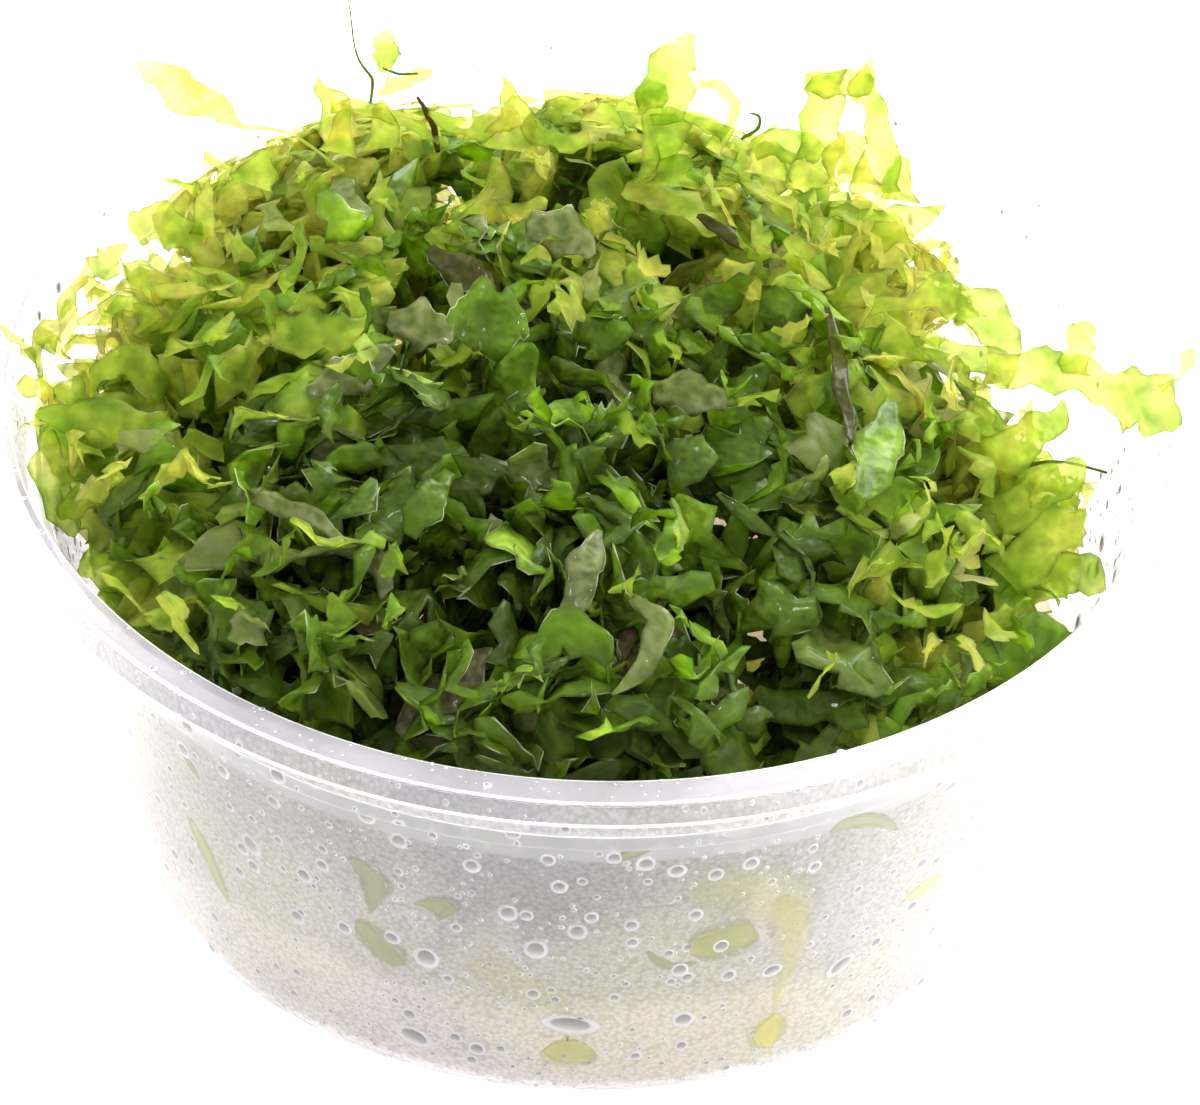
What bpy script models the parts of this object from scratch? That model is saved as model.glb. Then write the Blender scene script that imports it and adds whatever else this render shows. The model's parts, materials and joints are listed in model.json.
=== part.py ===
"""A round plastic tissue culture cup, filled with lomariopsis, a ribbon-leaved water plant.

The tub is turned from one profile. Nutrient gel lies in its bottom, and nine tufts of thalli stand on the
gel and dome over the rim. Small fronds lie against the inside of the wall. Origin: centre of the flat base,
+Z up, with the side that faces the viewer towards -Y.
"""

import itertools
import math
import random

import bmesh
import bpy
from mathutils import Vector
from mathutils.bvhtree import BVHTree

MM = 0.001

# Tub
CUP_HEIGHT = 43.1 * MM
LIP_RADIUS = 47.2 * MM
RIM_RADIUS = 49.8 * MM
SKIRT_RADIUS = 50.5 * MM
SKIRT_DROP = 1.9 * MM
LEDGE_DROP = 7.5 * MM
LEDGE_RADIUS = 44.8 * MM
LEDGE_WIDTH = 1.4 * MM
BASE_RADIUS = 40.3 * MM
BASE_ROUND = 2.0 * MM
WALL = 0.65 * MM
FLOOR = 0.9 * MM
RIM_THICKNESS = 0.8 * MM
RIM_EDGE = 0.25 * MM
CUP_SEGMENTS = 60

# Rounding of the base, from the flat underside up to where the leaning wall takes over, in degrees
ROUND_FROM = -90
ROUND_TO = -8
INNER_ROUND_STEPS = 2
OUTER_ROUND_STEPS = 3
MERGE_DISTANCE = 0.01 * MM

# Gel
GEL_TOP = 13.0 * MM
GEL_SEGMENTS = 40
GAP = 0.3 * MM

# Mound of thalli. Its reach is how far it comes out at each bearing, in degrees from +X.
MOUND_TOP = 52.5 * MM
MOUND_BELLY = 0.35
MOUND_FOOT = 0.8
MOUND_ROUND = 2.4
AIR_AT_LIP = 2.6 * MM
AIR_AT_GEL = 7.5 * MM
REACH = (
    (0, 33.0),
    (30, 30.0),
    (60, 34.0),
    (90, 38.0),
    (130, 42.0),
    (165, 43.0),
    (200, 48.0),
    (235, 54.0),
    (270, 56.0),
    (305, 53.0),
    (335, 44.0),
)
TUFTS = (
    ("tuft_centre", 0, 0.0),
    ("tuft_front", 270, 0.5),
    ("tuft_front_left", 224, 0.55),
    ("tuft_left", 180, 0.6),
    ("tuft_back_left", 134, 0.6),
    ("tuft_back", 88, 0.6),
    ("tuft_back_right", 40, 0.6),
    ("tuft_right", 352, 0.62),
    ("tuft_front_right", 312, 0.55),
)
TUFT_HEART = 30.0 * MM
TUFT_GAP = 0.2 * MM

# A lump's corners are found by halving a search from its heart, which starts wider than the mound
LUMP_SUBDIVISIONS = 3
SEARCH_REACH = 80 * MM
SEARCH_STEP = 0.02 * MM

# Air beside the plants, towards the back on the right, that no frond reaches into: lowest and highest corners
AIR_BESIDE = ((31.5, 7.5, 17.5), (39.0, 15.5, 60.0))

# Ribbon fronds that grow out of the tufts. A frond has a neck, a wide stretch and a tip.
FROND_SHARE = 0.85
FROND_TRIES = 3
FROND_LENGTH = (7.5 * MM, 11.5 * MM)
FROND_WIDTH = (3.8 * MM, 5.6 * MM)
FROND_THICKNESS = 0.7 * MM
FROND_LEAN = 0.5
FROND_LEAN_ASIDE = (-1.0, 1.0)
FROND_LEAN_UP = (-0.2, 0.9)
FROND_OUTWARD = 0.35
FROND_STEEPNESS = 0.45
FROND_NECK_PLACE = 0.32
FROND_NECK_WIDTH = 0.55
FROND_WIDE_PLACE = 0.66
FROND_CURL = 0.3
FROND_SEED = 11
ROOT_LIFT = 0.02
CROSSING_MARGIN = 0.1 * MM
BORDER_MARGIN = 1.0 * MM
HIDDEN_ABOVE_GEL = 8.0 * MM
OVER_THE_RIM = 0.8 * MM

# Long fronds: tuft, thickness, and the points that each passes with its width there. Millimetres.
LONG_FRONDS = (
    ("tuft_back_left", 0.7, ((-23, 13, 52, 2.5), (-29, 13, 57, 1.2), (-33, 14, 59, 4.2), (-38, 15, 61.4, 0))),
    ("tuft_back_left", 0.7, ((-18, 14, 52, 3), (-19.5, 16, 58, 1.2), (-18, 16, 62, 2.6), (-19, 16.5, 65, 0))),
    ("tuft_back_left", 0.7, ((-13, 14, 52, 2.4), (-14, 15, 55, 1.4), (-15, 16, 59, 0))),
    ("tuft_back", 0.7, ((-6, 17, 50, 5), (-6.5, 18, 55, 4.4), (-7.8, 18, 59.5, 0))),
    ("tuft_back", 0.7, ((1, 17, 50, 5), (0, 18, 54, 4), (-0.5, 18, 57.5, 0))),
    ("tuft_back", 0.7, ((5, 15, 50, 4), (4.5, 15, 56, 3), (5, 16, 61, 5), (6, 16.5, 66.2, 0))),
    ("tuft_back_right", 0.7, ((12, 14, 50, 4), (11, 15, 56, 4), (10, 16, 60, 0))),
    ("tuft_back_right", 0.8, ((18, 12, 50, 6), (19, 13, 57, 6.5), (19.5, 14, 62, 6.5), (22, 15, 66, 0))),
    ("tuft_back_right", 0.7, ((24, 8, 48, 4), (25.5, 9, 52, 4), (27.5, 11, 55, 0))),
    ("tuft_right", 0.7, ((23, 4, 48, 5), (28, 3, 49, 5.5), (34, 2, 47.5, 0))),
    (
        "tuft_right",
        0.8,
        (
            (26, -2, 44, 4),
            (31, -3.5, 46, 3),
            (35, -3, 46.5, 3.6),
            (38.5, -1, 48, 5),
            (42, -3, 47, 3),
            (45, -5, 46.2, 5),
            (48.5, -6, 45.8, 0),
        ),
    ),
    ("tuft_front_left", 0.7, ((-33, -22, 42, 5), (-37, -23, 45.5, 4.6), (-42.5, -22, 46, 0))),
    ("tuft_left", 0.7, ((-35, -9, 43, 5), (-40, -10, 46, 5), (-44.5, -10, 47, 0))),
    ("tuft_left", 0.7, ((-34, 8, 42, 4), (-37, 9, 46, 4), (-38.5, 10, 50, 0))),
)

# Ways that a long frond's flat side can face, the one to the viewer first, and how many faces can be its root
LONG_FACINGS = (
    (0.1, -0.75, 0.65),
    (0.5, -0.6, 0.6),
    (-0.5, -0.6, 0.6),
    (0.0, -0.2, 1.0),
    (0.0, -1.0, 0.2),
    (0.8, -0.4, 0.4),
    (-0.8, -0.4, 0.4),
)
ROOT_CHOICES = 30

# Fronds against the wall: bearing in degrees, height, length, width and tilt in degrees, all at their middle.
WALL_FRONDS = (
    ("wall_frond_1", -111.4, 24.6, 5.0, 3.0, 80),
    ("wall_frond_2", -104.3, 23.7, 3.6, 3.0, 20),
    ("wall_frond_3", -111.0, 17.0, 4.4, 2.8, -35),
    ("wall_frond_4", -134.0, 28.3, 4.4, 1.5, -60),
    ("wall_frond_5", -134.5, 17.0, 8.0, 2.2, -65),
    ("wall_frond_6", -74.1, 20.5, 5.6, 4.0, 15),
    ("wall_frond_7", -80.5, 19.0, 3.8, 1.8, -25),
    ("wall_frond_8", -83.7, 33.0, 3.2, 1.6, 20),
    ("wall_frond_9", -61.2, 31.4, 5.0, 1.8, -5),
    ("wall_frond_10", -28.9, 26.4, 5.0, 1.8, 65),
    ("wall_frond_11", -37.8, 16.4, 3.4, 2.0, 60),
    ("wall_frond_12", -49.3, 18.2, 4.0, 2.4, 30),
    ("gel_frond_1", -66.6, 7.0, 5.0, 3.0, 80),
    ("gel_frond_2", -90.3, 6.8, 5.4, 3.6, 10),
)
WALL_FROND_THICKNESS = 0.4 * MM
WALL_FROND_CORNERS = 10
WALL_FROND_PINCH = 0.45
POCKET_CLEARANCE = 0.35 * MM
WALL_STEM = ((-145.2, 20.0), (-144.0, 16.5), (-142.6, 13.8))
WALL_STEM_THICKNESS = 0.6 * MM

INNER_BASE_RADIUS = BASE_RADIUS - WALL
LEDGE_HEIGHT = CUP_HEIGHT - LEDGE_DROP
COLLAR_FOOT_RADIUS = LEDGE_RADIUS + LEDGE_WIDTH


def clear_scene():
    for old in list(bpy.data.objects):
        bpy.data.objects.remove(old, do_unlink=True)


def new_collection(name):
    collection = bpy.data.collections.new(name)
    bpy.context.scene.collection.children.link(collection)
    return collection


def plastic_or_tissue(name, colour, roughness, transmission=0.0):
    material = bpy.data.materials.new(name)
    material.use_nodes = True
    shader = material.node_tree.nodes["Principled BSDF"]
    shader.inputs["Base Color"].default_value = (*colour, 1.0)
    shader.inputs["Roughness"].default_value = roughness
    shader.inputs["Metallic"].default_value = 0.0
    shader.inputs["Transmission Weight"].default_value = transmission
    return material


def add_mesh(name, bm, material, collection):
    mesh = bpy.data.meshes.new(name)
    bm.to_mesh(mesh)
    bm.free()
    mesh.materials.append(material)
    piece = bpy.data.objects.new(name, mesh)
    collection.objects.link(piece)
    return piece


def arc(centre_r, centre_z, radius, start, end, steps):
    """Points of a round corner in the profile, from one angle to another in degrees."""
    angles = [math.radians(start + (end - start) * i / steps) for i in range(steps + 1)]
    return [(centre_r + radius * math.cos(a), centre_z + radius * math.sin(a)) for a in angles]


def turned(name, profile, segments, material, collection):
    """A body turned about Z from a profile of (radius, height) that ends by running down the outer side."""
    bm = bmesh.new()
    points = [bm.verts.new((r, 0.0, z)) for r, z in profile]
    for first, second in zip(points, points[1:]):
        bm.edges.new((first, second))
    piece = add_mesh(name, bm, material, collection)
    screw = piece.modifiers.new("turn", "SCREW")
    screw.axis = "Z"
    screw.steps = segments
    screw.render_steps = segments
    screw.use_smooth_shade = True
    screw.use_merge_vertices = True
    screw.merge_threshold = MERGE_DISTANCE
    return piece


def inner_radius(height):
    """Radius of the inside of the wall at a height."""
    if height <= LEDGE_HEIGHT:
        share = max(height - FLOOR, 0.0) / (LEDGE_HEIGHT - FLOOR)
        return INNER_BASE_RADIUS + share * (LEDGE_RADIUS - INNER_BASE_RADIUS)
    share = min((height - LEDGE_HEIGHT) / LEDGE_DROP, 1.0)
    return COLLAR_FOOT_RADIUS + share * (LIP_RADIUS - COLLAR_FOOT_RADIUS)


def make_cup(collection):
    material = plastic_or_tissue("clear polypropylene", (0.86, 0.86, 0.86), 0.25, transmission=0.6)
    corner = BASE_ROUND - WALL
    inside = [(0.0, FLOOR)]
    inside += arc(INNER_BASE_RADIUS - corner, FLOOR + corner, corner, ROUND_FROM, ROUND_TO, INNER_ROUND_STEPS)
    inside += [
        (LEDGE_RADIUS, LEDGE_HEIGHT),
        (COLLAR_FOOT_RADIUS, LEDGE_HEIGHT + RIM_EDGE),
        (LIP_RADIUS, CUP_HEIGHT - RIM_EDGE),
        (LIP_RADIUS + RIM_EDGE, CUP_HEIGHT),
    ]
    under = CUP_HEIGHT - RIM_THICKNESS
    skirt_foot = CUP_HEIGHT - SKIRT_DROP
    outside = [
        (RIM_RADIUS - RIM_EDGE, CUP_HEIGHT),
        (RIM_RADIUS, CUP_HEIGHT - RIM_EDGE),
        (SKIRT_RADIUS, skirt_foot),
        (SKIRT_RADIUS - WALL, skirt_foot),
        (RIM_RADIUS - WALL, under),
        (LIP_RADIUS + WALL, under),
        (COLLAR_FOOT_RADIUS + WALL, LEDGE_HEIGHT - WALL),
        (LEDGE_RADIUS + WALL, LEDGE_HEIGHT - WALL - RIM_EDGE),
    ]
    outside += arc(BASE_RADIUS - BASE_ROUND, BASE_ROUND, BASE_ROUND, ROUND_TO, ROUND_FROM, OUTER_ROUND_STEPS)
    outside += [(0.0, 0.0)]
    return turned("cup", inside + outside, CUP_SEGMENTS, material, collection)


def make_gel(collection, cutters, pockets):
    """The gel fills the bottom, with a pocket at the wall for each frond that it holds."""
    material = plastic_or_tissue("nutrient gel", (0.86, 0.80, 0.62), 0.2, transmission=0.4)
    corner = BASE_ROUND - WALL
    lowest = FLOOR + GAP
    profile = [(0.0, GEL_TOP), (inner_radius(GEL_TOP) - GAP, GEL_TOP)]
    profile += arc(
        INNER_BASE_RADIUS - corner - GAP, lowest + corner, corner, ROUND_TO, ROUND_FROM, INNER_ROUND_STEPS
    )
    profile += [(0.0, lowest)]
    gel = turned("gel", profile, GEL_SEGMENTS, material, collection)
    for place in pockets:
        cutter = wall_plate("pocket_" + place[0], place, POCKET_CLEARANCE, material, cutters)
        cutter.hide_render = True
        cutter.display_type = "WIRE"
        cut = gel.modifiers.new(cutter.name, "BOOLEAN")
        cut.operation = "DIFFERENCE"
        cut.object = cutter
    return gel


def reach_at(bearing):
    """How far the mound reaches at a bearing, eased between the listed ones."""
    bearing %= 360
    stations = [(angle, distance * MM) for angle, distance in REACH]
    stations.append((360, stations[0][1]))
    for (start, near), (end, far) in zip(stations, stations[1:]):
        if start <= bearing <= end:
            share = (bearing - start) / (end - start)
            return near + (far - near) * (1 - math.cos(math.pi * share)) / 2
    return stations[0][1]


def in_mound(point):
    """True inside the mound: bounded by its reach, its dome and the air that it leaves at the wall."""
    foot = GEL_TOP + GAP
    rise = (point.z - foot) / (MOUND_TOP - foot)
    if not 0 <= rise <= 1:
        return False
    if rise < MOUND_BELLY:
        swell = MOUND_FOOT + (1 - MOUND_FOOT) * rise / MOUND_BELLY
    else:
        swell = math.sqrt(1 - ((rise - MOUND_BELLY) / (1 - MOUND_BELLY)) ** MOUND_ROUND)
    limit = swell * reach_at(math.degrees(math.atan2(point.y, point.x)))
    if point.z < CUP_HEIGHT:
        share = (point.z - foot) / (CUP_HEIGHT - foot)
        limit = min(limit, inner_radius(point.z) - AIR_AT_GEL - share * (AIR_AT_LIP - AIR_AT_GEL))
    return math.hypot(point.x, point.y) < limit


def tuft_places():
    places = {}
    for name, bearing, share in TUFTS:
        angle = math.radians(bearing)
        distance = share * min(reach_at(bearing), LIP_RADIUS)
        places[name] = Vector((distance * math.cos(angle), distance * math.sin(angle), TUFT_HEART))
    return places


def borders(name, places):
    """The upright planes halfway to the other tufts, each as a point and a direction out of this tuft."""
    own = places[name]
    planes = []
    for other, place in places.items():
        if other != name:
            out = (place - own).normalized()
            planes.append(((own + place) / 2 - out * TUFT_GAP, out))
    return planes


def in_borders(point, planes):
    return all((point - at).dot(out) <= 0 for at, out in planes)


def tuft_lump(heart, planes):
    """A sphere drawn out from the tuft's heart until it meets the mound's outside or a border."""
    bm = bmesh.new()
    bmesh.ops.create_icosphere(bm, subdivisions=LUMP_SUBDIVISIONS, radius=1.0)
    for vert in bm.verts:
        direction = vert.co.normalized()
        near, far = 0.0, SEARCH_REACH
        while far - near > SEARCH_STEP:
            middle = (near + far) / 2
            point = heart + direction * middle
            if in_mound(point) and in_borders(point, planes):
                near = middle
            else:
                far = middle
        vert.co = heart + direction * near
    return bm


def clear_of_cup(point):
    """True where a frond's point keeps off the tub."""
    radius = math.hypot(point.x, point.y)
    if point.z > CUP_HEIGHT + OVER_THE_RIM:
        return radius < SKIRT_RADIUS - GAP
    return radius < inner_radius(point.z) - 2 * GAP


def air_beside():
    """The faces of the air space beside the plants, as a search tree."""
    bm = bmesh.new()
    bmesh.ops.create_cube(bm, size=1.0)
    low, high = (Vector(corner) * MM for corner in AIR_BESIDE)
    for vert in bm.verts:
        vert.co = Vector(high[i] if vert.co[i] > 0 else low[i] for i in range(3))
    tree = BVHTree.FromBMesh(bm)
    bm.free()
    return tree


def in_air_beside(point):
    low, high = AIR_BESIDE
    return all(low[i] * MM < point[i] < high[i] * MM for i in range(3))


class Ribbon:
    """Cross-sections of one frond, each a flat triangle: two edges and a midrib. It grows out of a face."""

    def __init__(self, face, points, widths, thickness, facing):
        self.root = [loop.vert.co.copy() for loop in face.loops]
        self.sections = []
        for index in range(len(points) - 1):
            ahead = (points[index + 1] - points[max(index - 1, 0)]).normalized()
            side = ahead.cross(facing).normalized()
            ridge = ahead.cross(side)
            half = widths[index] / 2
            middle = points[index]
            self.sections.append((middle + side * half, middle + ridge * thickness, middle - side * half))
        self.tip = points[-1]

    def corners(self):
        return [corner for section in self.sections for corner in section] + [self.tip]

    def matched(self, places, section):
        """The section's corners in the order that lies nearest to the three places before it."""
        turns = [section[turn:] + section[:turn] for turn in range(3)]
        return min(turns, key=lambda turn: sum((v - p).length for v, p in zip(places, turn)))

    def clears(self, others):
        """The ribbon's search tree if it crosses neither the others nor itself, and None otherwise."""
        tree, faces = self.crossings()
        folded = any(not set(faces[one]) & set(faces[two]) for one, two in tree.overlap(tree))
        return None if folded or any(tree.overlap(other) for other in others) else tree

    def crossings(self):
        """A search tree of the ribbon's faces, from just above the face that it grows out of."""
        first = self.matched(self.root, self.sections[0])
        corners = [place.lerp(end, ROOT_LIFT) for place, end in zip(self.root, first)]
        for section in self.sections:
            corners += self.matched(corners[-3:], section)
        corners.append(self.tip)
        faces = [(0, 2, 1)]
        last = 3 * len(self.sections)
        for start in range(0, last, 3):
            for one, two in ((0, 1), (1, 2), (2, 0)):
                # A bent four-sided face can be split either way, so both ways count
                side = (start + one, start + two, start + two + 3, start + one + 3)
                faces += [tuple(corner for corner in side if corner != left_out) for left_out in side]
        for one, two in ((0, 1), (1, 2), (2, 0)):
            faces.append((last + one, last + two, len(corners) - 1))
        return BVHTree.FromPolygons(corners, faces, epsilon=CROSSING_MARGIN), faces

    def grow(self, bm, face):
        """Draws the face out through the sections and ends it in a point."""
        for section in self.sections:
            face = bmesh.ops.extrude_discrete_faces(bm, faces=[face])["faces"][0]
            verts = [loop.vert for loop in face.loops]
            for vert, place in zip(verts, self.matched([vert.co for vert in verts], section)):
                vert.co = place
        centre = bmesh.ops.poke(bm, faces=[face])["verts"][0]
        centre.co = self.tip


def short_ribbon(face, draw):
    """A frond that stands on a face of the lump, leans a little and is flat along one of the face's edges."""
    middle = face.calc_center_median()
    outward = Vector((middle.x, middle.y, 0)).normalized()
    ranges = (FROND_LEAN_ASIDE, FROND_LEAN_ASIDE, FROND_LEAN_UP)
    lean = Vector([draw.uniform(*limits) for limits in ranges]) * FROND_LEAN
    ahead = (face.normal + FROND_OUTWARD * outward + lean).normalized()
    if ahead.dot(face.normal) < FROND_STEEPNESS:
        ahead = (ahead + face.normal).normalized()
    length = draw.uniform(*FROND_LENGTH)
    width = draw.uniform(*FROND_WIDTH)
    edge = draw.choice(list(face.loops))
    facing = (edge.link_loop_next.vert.co - edge.vert.co).cross(ahead)
    curl = facing.normalized() * length * draw.uniform(-FROND_CURL, FROND_CURL)
    points = [middle + ahead * length * share for share in (FROND_NECK_PLACE, FROND_WIDE_PLACE)]
    points.append(middle + ahead * length + curl)
    return Ribbon(face, points, (width * FROND_NECK_WIDTH, width), FROND_THICKNESS, facing)


def long_ribbon(face, stations, thickness, facing):
    """A frond that follows its stations outside the mound."""
    points = [Vector(station[:3]) * MM for station in stations]
    widths = [station[3] * MM for station in stations]
    ribbon = Ribbon(face, points, widths, thickness * MM, Vector(facing))
    ribbon.sections = [section for section in ribbon.sections if not any(map(in_mound, section))]
    return ribbon


def nearest_faces(bm, point, used):
    """The lump's free faces, with the nearest to the point first."""
    free = [face for face in bm.faces if face.index not in used]
    return sorted(free, key=lambda face: (face.calc_center_median() - point).length)


def rooted_long_ribbon(bm, stations, thickness, used, others):
    """The long frond on the nearest face from which it crosses nothing."""
    near = nearest_faces(bm, Vector(stations[0][:3]) * MM, used)[:ROOT_CHOICES]
    for face, facing in itertools.product(near, LONG_FACINGS):
        ribbon = long_ribbon(face, stations, thickness, facing)
        tree = ribbon.clears(others)
        if tree:
            return face, ribbon, tree
    raise ValueError(f"no face for the long frond at {stations[0]}")


def make_tuft(name, places, material, collection):
    """One tuft: its lump, its long fronds, then short fronds wherever they clear all others."""
    planes = borders(name, places)
    bm = tuft_lump(places[name], planes)
    bm.normal_update()
    bm.faces.index_update()
    draw = random.Random(f"{name} {FROND_SEED}")
    kept_clear = (BVHTree.FromBMesh(bm), air_beside())
    lump_faces = list(bm.faces)
    used = set()
    grown = []
    jobs = []
    for tuft, thickness, stations in LONG_FRONDS:
        if tuft == name:
            others = (kept_clear[0], *grown)
            face, ribbon, tree = rooted_long_ribbon(bm, stations, thickness, used, others)
            used.add(face.index)
            grown.append(tree)
            jobs.append((face, ribbon))
    for face in lump_faces:
        middle = face.calc_center_median()
        on_border = any((middle - at).dot(out) > -BORDER_MARGIN for at, out in planes)
        hidden = middle.z < GEL_TOP + HIDDEN_ABOVE_GEL or (middle.z < LEDGE_HEIGHT and face.normal.z < 0)
        if face.index in used or on_border or hidden or draw.random() > FROND_SHARE:
            continue
        for _ in range(FROND_TRIES):
            ribbon = short_ribbon(face, draw)
            tree = ribbon.clears((*kept_clear, *grown))
            fits = all(
                in_borders(corner, planes) and clear_of_cup(corner) and not in_air_beside(corner)
                for corner in ribbon.corners()
            )
            if fits and tree:
                grown.append(tree)
                jobs.append((face, ribbon))
                break
    for face, ribbon in jobs:
        ribbon.grow(bm, face)
    return add_mesh(name, bm, material, collection)


def wall_plate(name, place, clearance, material, collection):
    """A flat leaf outline that lies against the wall. A clearance makes it larger and runs it to the wall."""
    _, bearing, height, length, width, tilt = place
    bm = bmesh.new()
    bmesh.ops.create_circle(bm, cap_ends=True, segments=WALL_FROND_CORNERS, radius=1.0)
    angle = math.radians(bearing)
    lean = math.atan2(LEDGE_RADIUS - INNER_BASE_RADIUS, LEDGE_HEIGHT - FLOOR)
    out = Vector((math.cos(angle), math.sin(angle), 0.0))
    along = Vector((-math.sin(angle), math.cos(angle), 0.0))
    up = Vector((0.0, 0.0, math.cos(lean))) + out * math.sin(lean)
    out = along.cross(up)
    thickness = WALL_FROND_THICKNESS + 2 * clearance + (2 * GAP if clearance else 0.0)
    bow = (length * MM / 2) ** 2 / (2 * inner_radius(height * MM))
    radius = inner_radius(height * MM) - GAP - bow - WALL_FROND_THICKNESS - clearance
    centre = Vector((radius * math.cos(angle), radius * math.sin(angle), height * MM))
    turn = math.radians(tilt)
    for vert in bm.verts:
        x = vert.co.x * (length * MM / 2 + clearance)
        pinch = 1.0 - WALL_FROND_PINCH * max(vert.co.x, 0.0)
        y = vert.co.y * (width * MM / 2 * pinch + clearance)
        flat_x = x * math.cos(turn) - y * math.sin(turn)
        flat_y = x * math.sin(turn) + y * math.cos(turn)
        vert.co = centre + along * flat_x + up * flat_y
    bm.normal_update()
    for face in bm.faces:
        if face.normal.dot(out) < 0:
            face.normal_flip()
    piece = add_mesh(name, bm, material, collection)
    shell = piece.modifiers.new("thickness", "SOLIDIFY")
    shell.thickness = thickness
    shell.offset = 1.0
    return piece


def make_wall_stem(material, collection):
    """A thin stem that runs down the wall at the left, as a bevelled curve."""
    curve = bpy.data.curves.new("wall_stem", "CURVE")
    curve.dimensions = "3D"
    curve.bevel_depth = WALL_STEM_THICKNESS / 2
    curve.bevel_resolution = 0
    curve.use_fill_caps = True
    spline = curve.splines.new("POLY")
    spline.points.add(len(WALL_STEM) - 1)
    for point, (bearing, height) in zip(spline.points, WALL_STEM):
        angle = math.radians(bearing)
        radius = inner_radius(height * MM) - GAP - WALL_STEM_THICKNESS
        point.co = (radius * math.cos(angle), radius * math.sin(angle), height * MM, 1.0)
    curve.materials.append(material)
    stem = bpy.data.objects.new("wall_stem", curve)
    collection.objects.link(stem)
    return stem


def main():
    clear_scene()
    parts = new_collection("lomariopsis_tissue_culture_cup")
    cutters = new_collection("cutters")
    make_cup(parts)
    make_gel(parts, cutters, [place for place in WALL_FRONDS if place[0].startswith("gel_")])
    green = plastic_or_tissue("wet thallus", (0.12, 0.25, 0.03), 0.35)
    pale = plastic_or_tissue("thallus at the wall", (0.33, 0.38, 0.16), 0.4)
    brown = plastic_or_tissue("dark stem", (0.10, 0.08, 0.02), 0.5)
    places = tuft_places()
    for name in places:
        make_tuft(name, places, green, parts)
    for place in WALL_FRONDS:
        wall_plate(place[0], place, 0.0, pale, parts)
    make_wall_stem(brown, parts)


main()
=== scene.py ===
import json
import math
import random

import bmesh
import bpy
from mathutils import Matrix, Vector

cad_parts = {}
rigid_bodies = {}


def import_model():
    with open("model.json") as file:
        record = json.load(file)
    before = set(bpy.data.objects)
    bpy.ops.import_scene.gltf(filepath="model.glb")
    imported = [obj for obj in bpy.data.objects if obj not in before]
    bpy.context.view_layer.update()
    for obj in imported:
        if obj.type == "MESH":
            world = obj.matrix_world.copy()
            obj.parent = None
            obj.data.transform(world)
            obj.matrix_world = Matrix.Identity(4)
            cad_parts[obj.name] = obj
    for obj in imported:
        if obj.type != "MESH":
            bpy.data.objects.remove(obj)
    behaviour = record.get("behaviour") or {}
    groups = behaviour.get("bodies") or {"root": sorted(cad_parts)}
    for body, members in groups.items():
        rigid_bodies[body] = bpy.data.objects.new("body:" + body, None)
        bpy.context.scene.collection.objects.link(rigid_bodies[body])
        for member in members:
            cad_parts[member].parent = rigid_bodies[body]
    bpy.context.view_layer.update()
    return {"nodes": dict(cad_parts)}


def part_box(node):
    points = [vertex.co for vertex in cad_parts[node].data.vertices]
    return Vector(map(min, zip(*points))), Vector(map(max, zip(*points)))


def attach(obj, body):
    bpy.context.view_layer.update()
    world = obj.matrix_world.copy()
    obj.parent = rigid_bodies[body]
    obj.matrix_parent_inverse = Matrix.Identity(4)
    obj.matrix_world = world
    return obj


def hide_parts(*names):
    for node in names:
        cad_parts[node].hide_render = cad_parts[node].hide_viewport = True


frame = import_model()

scene = bpy.context.scene
MM = 0.001

# Camera: a long lens that looks down on the cup's mouth from the front, a little turned on its own axis.
CAMERA_PLACE = (0.0, -293.5, 280.6)
CAMERA_YAW = -0.21
CAMERA_PITCH = 48.84
CAMERA_ROLL = 2.39
CAMERA_LENS = 139.4
camera_data = bpy.data.cameras.new("camera")
camera_data.lens = CAMERA_LENS
camera_data.sensor_width = 36.0
camera_data.clip_end = 10.0
camera = bpy.data.objects.new("camera", camera_data)
camera.matrix_world = (
    Matrix.Translation(Vector(CAMERA_PLACE) * MM)
    @ Matrix.Rotation(math.radians(CAMERA_YAW), 4, "Z")
    @ Matrix.Rotation(math.radians(CAMERA_PITCH), 4, "X")
    @ Matrix.Rotation(math.radians(CAMERA_ROLL), 4, "Z")
)
scene.collection.objects.link(camera)
scene.camera = camera
scene.view_settings.view_transform = "Standard"


# Colours, nodes, pieces and rules: the steps and the few numbers that the sections below share.
WATER_IOR = 1.33
LEAF_IOR = 1.38
FILM_THICKNESS = 0.06


def srgb(text):
    """A hex colour as linear red, green, blue and alpha."""
    shares = [int(text[i : i + 2], 16) / 255 for i in (1, 3, 5)]
    linear = [c / 12.92 if c <= 0.04045 else ((c + 0.055) / 1.055) ** 2.4 for c in shares]
    return (*linear, 1.0)


def socket(sockets, name):
    """The socket of that name that the node's settings leave in use."""
    return next(s for s in sockets if s.enabled and s.name == name)


def add_node(tree, kind, inputs=None, **settings):
    """A node with its settings. An input takes a value, a node, or a node with the name of its output."""
    node = tree.nodes.new(kind)
    stops = settings.pop("stops", ())
    for key, value in settings.items():
        setattr(node, key, value)
    for index, (place, colour) in enumerate(stops):
        ramp = node.color_ramp.elements
        stop = ramp[index] if index < 2 else ramp.new(place)
        stop.position = place
        stop.color = srgb(colour)
    for key, value in (inputs or {}).items():
        into = node.inputs[key] if isinstance(key, int) else socket(node.inputs, key)
        if isinstance(value, bpy.types.Node):
            tree.links.new(next(s for s in value.outputs if s.enabled), into)
        elif isinstance(value, tuple) and isinstance(value[0], bpy.types.Node):
            tree.links.new(socket(value[0].outputs, value[1]), into)
        else:
            into.default_value = value
    return node


def calc(tree, operation, *values, **settings):
    """A number worked out from the values."""
    return add_node(tree, "ShaderNodeMath", dict(enumerate(values)), operation=operation, **settings)


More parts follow.
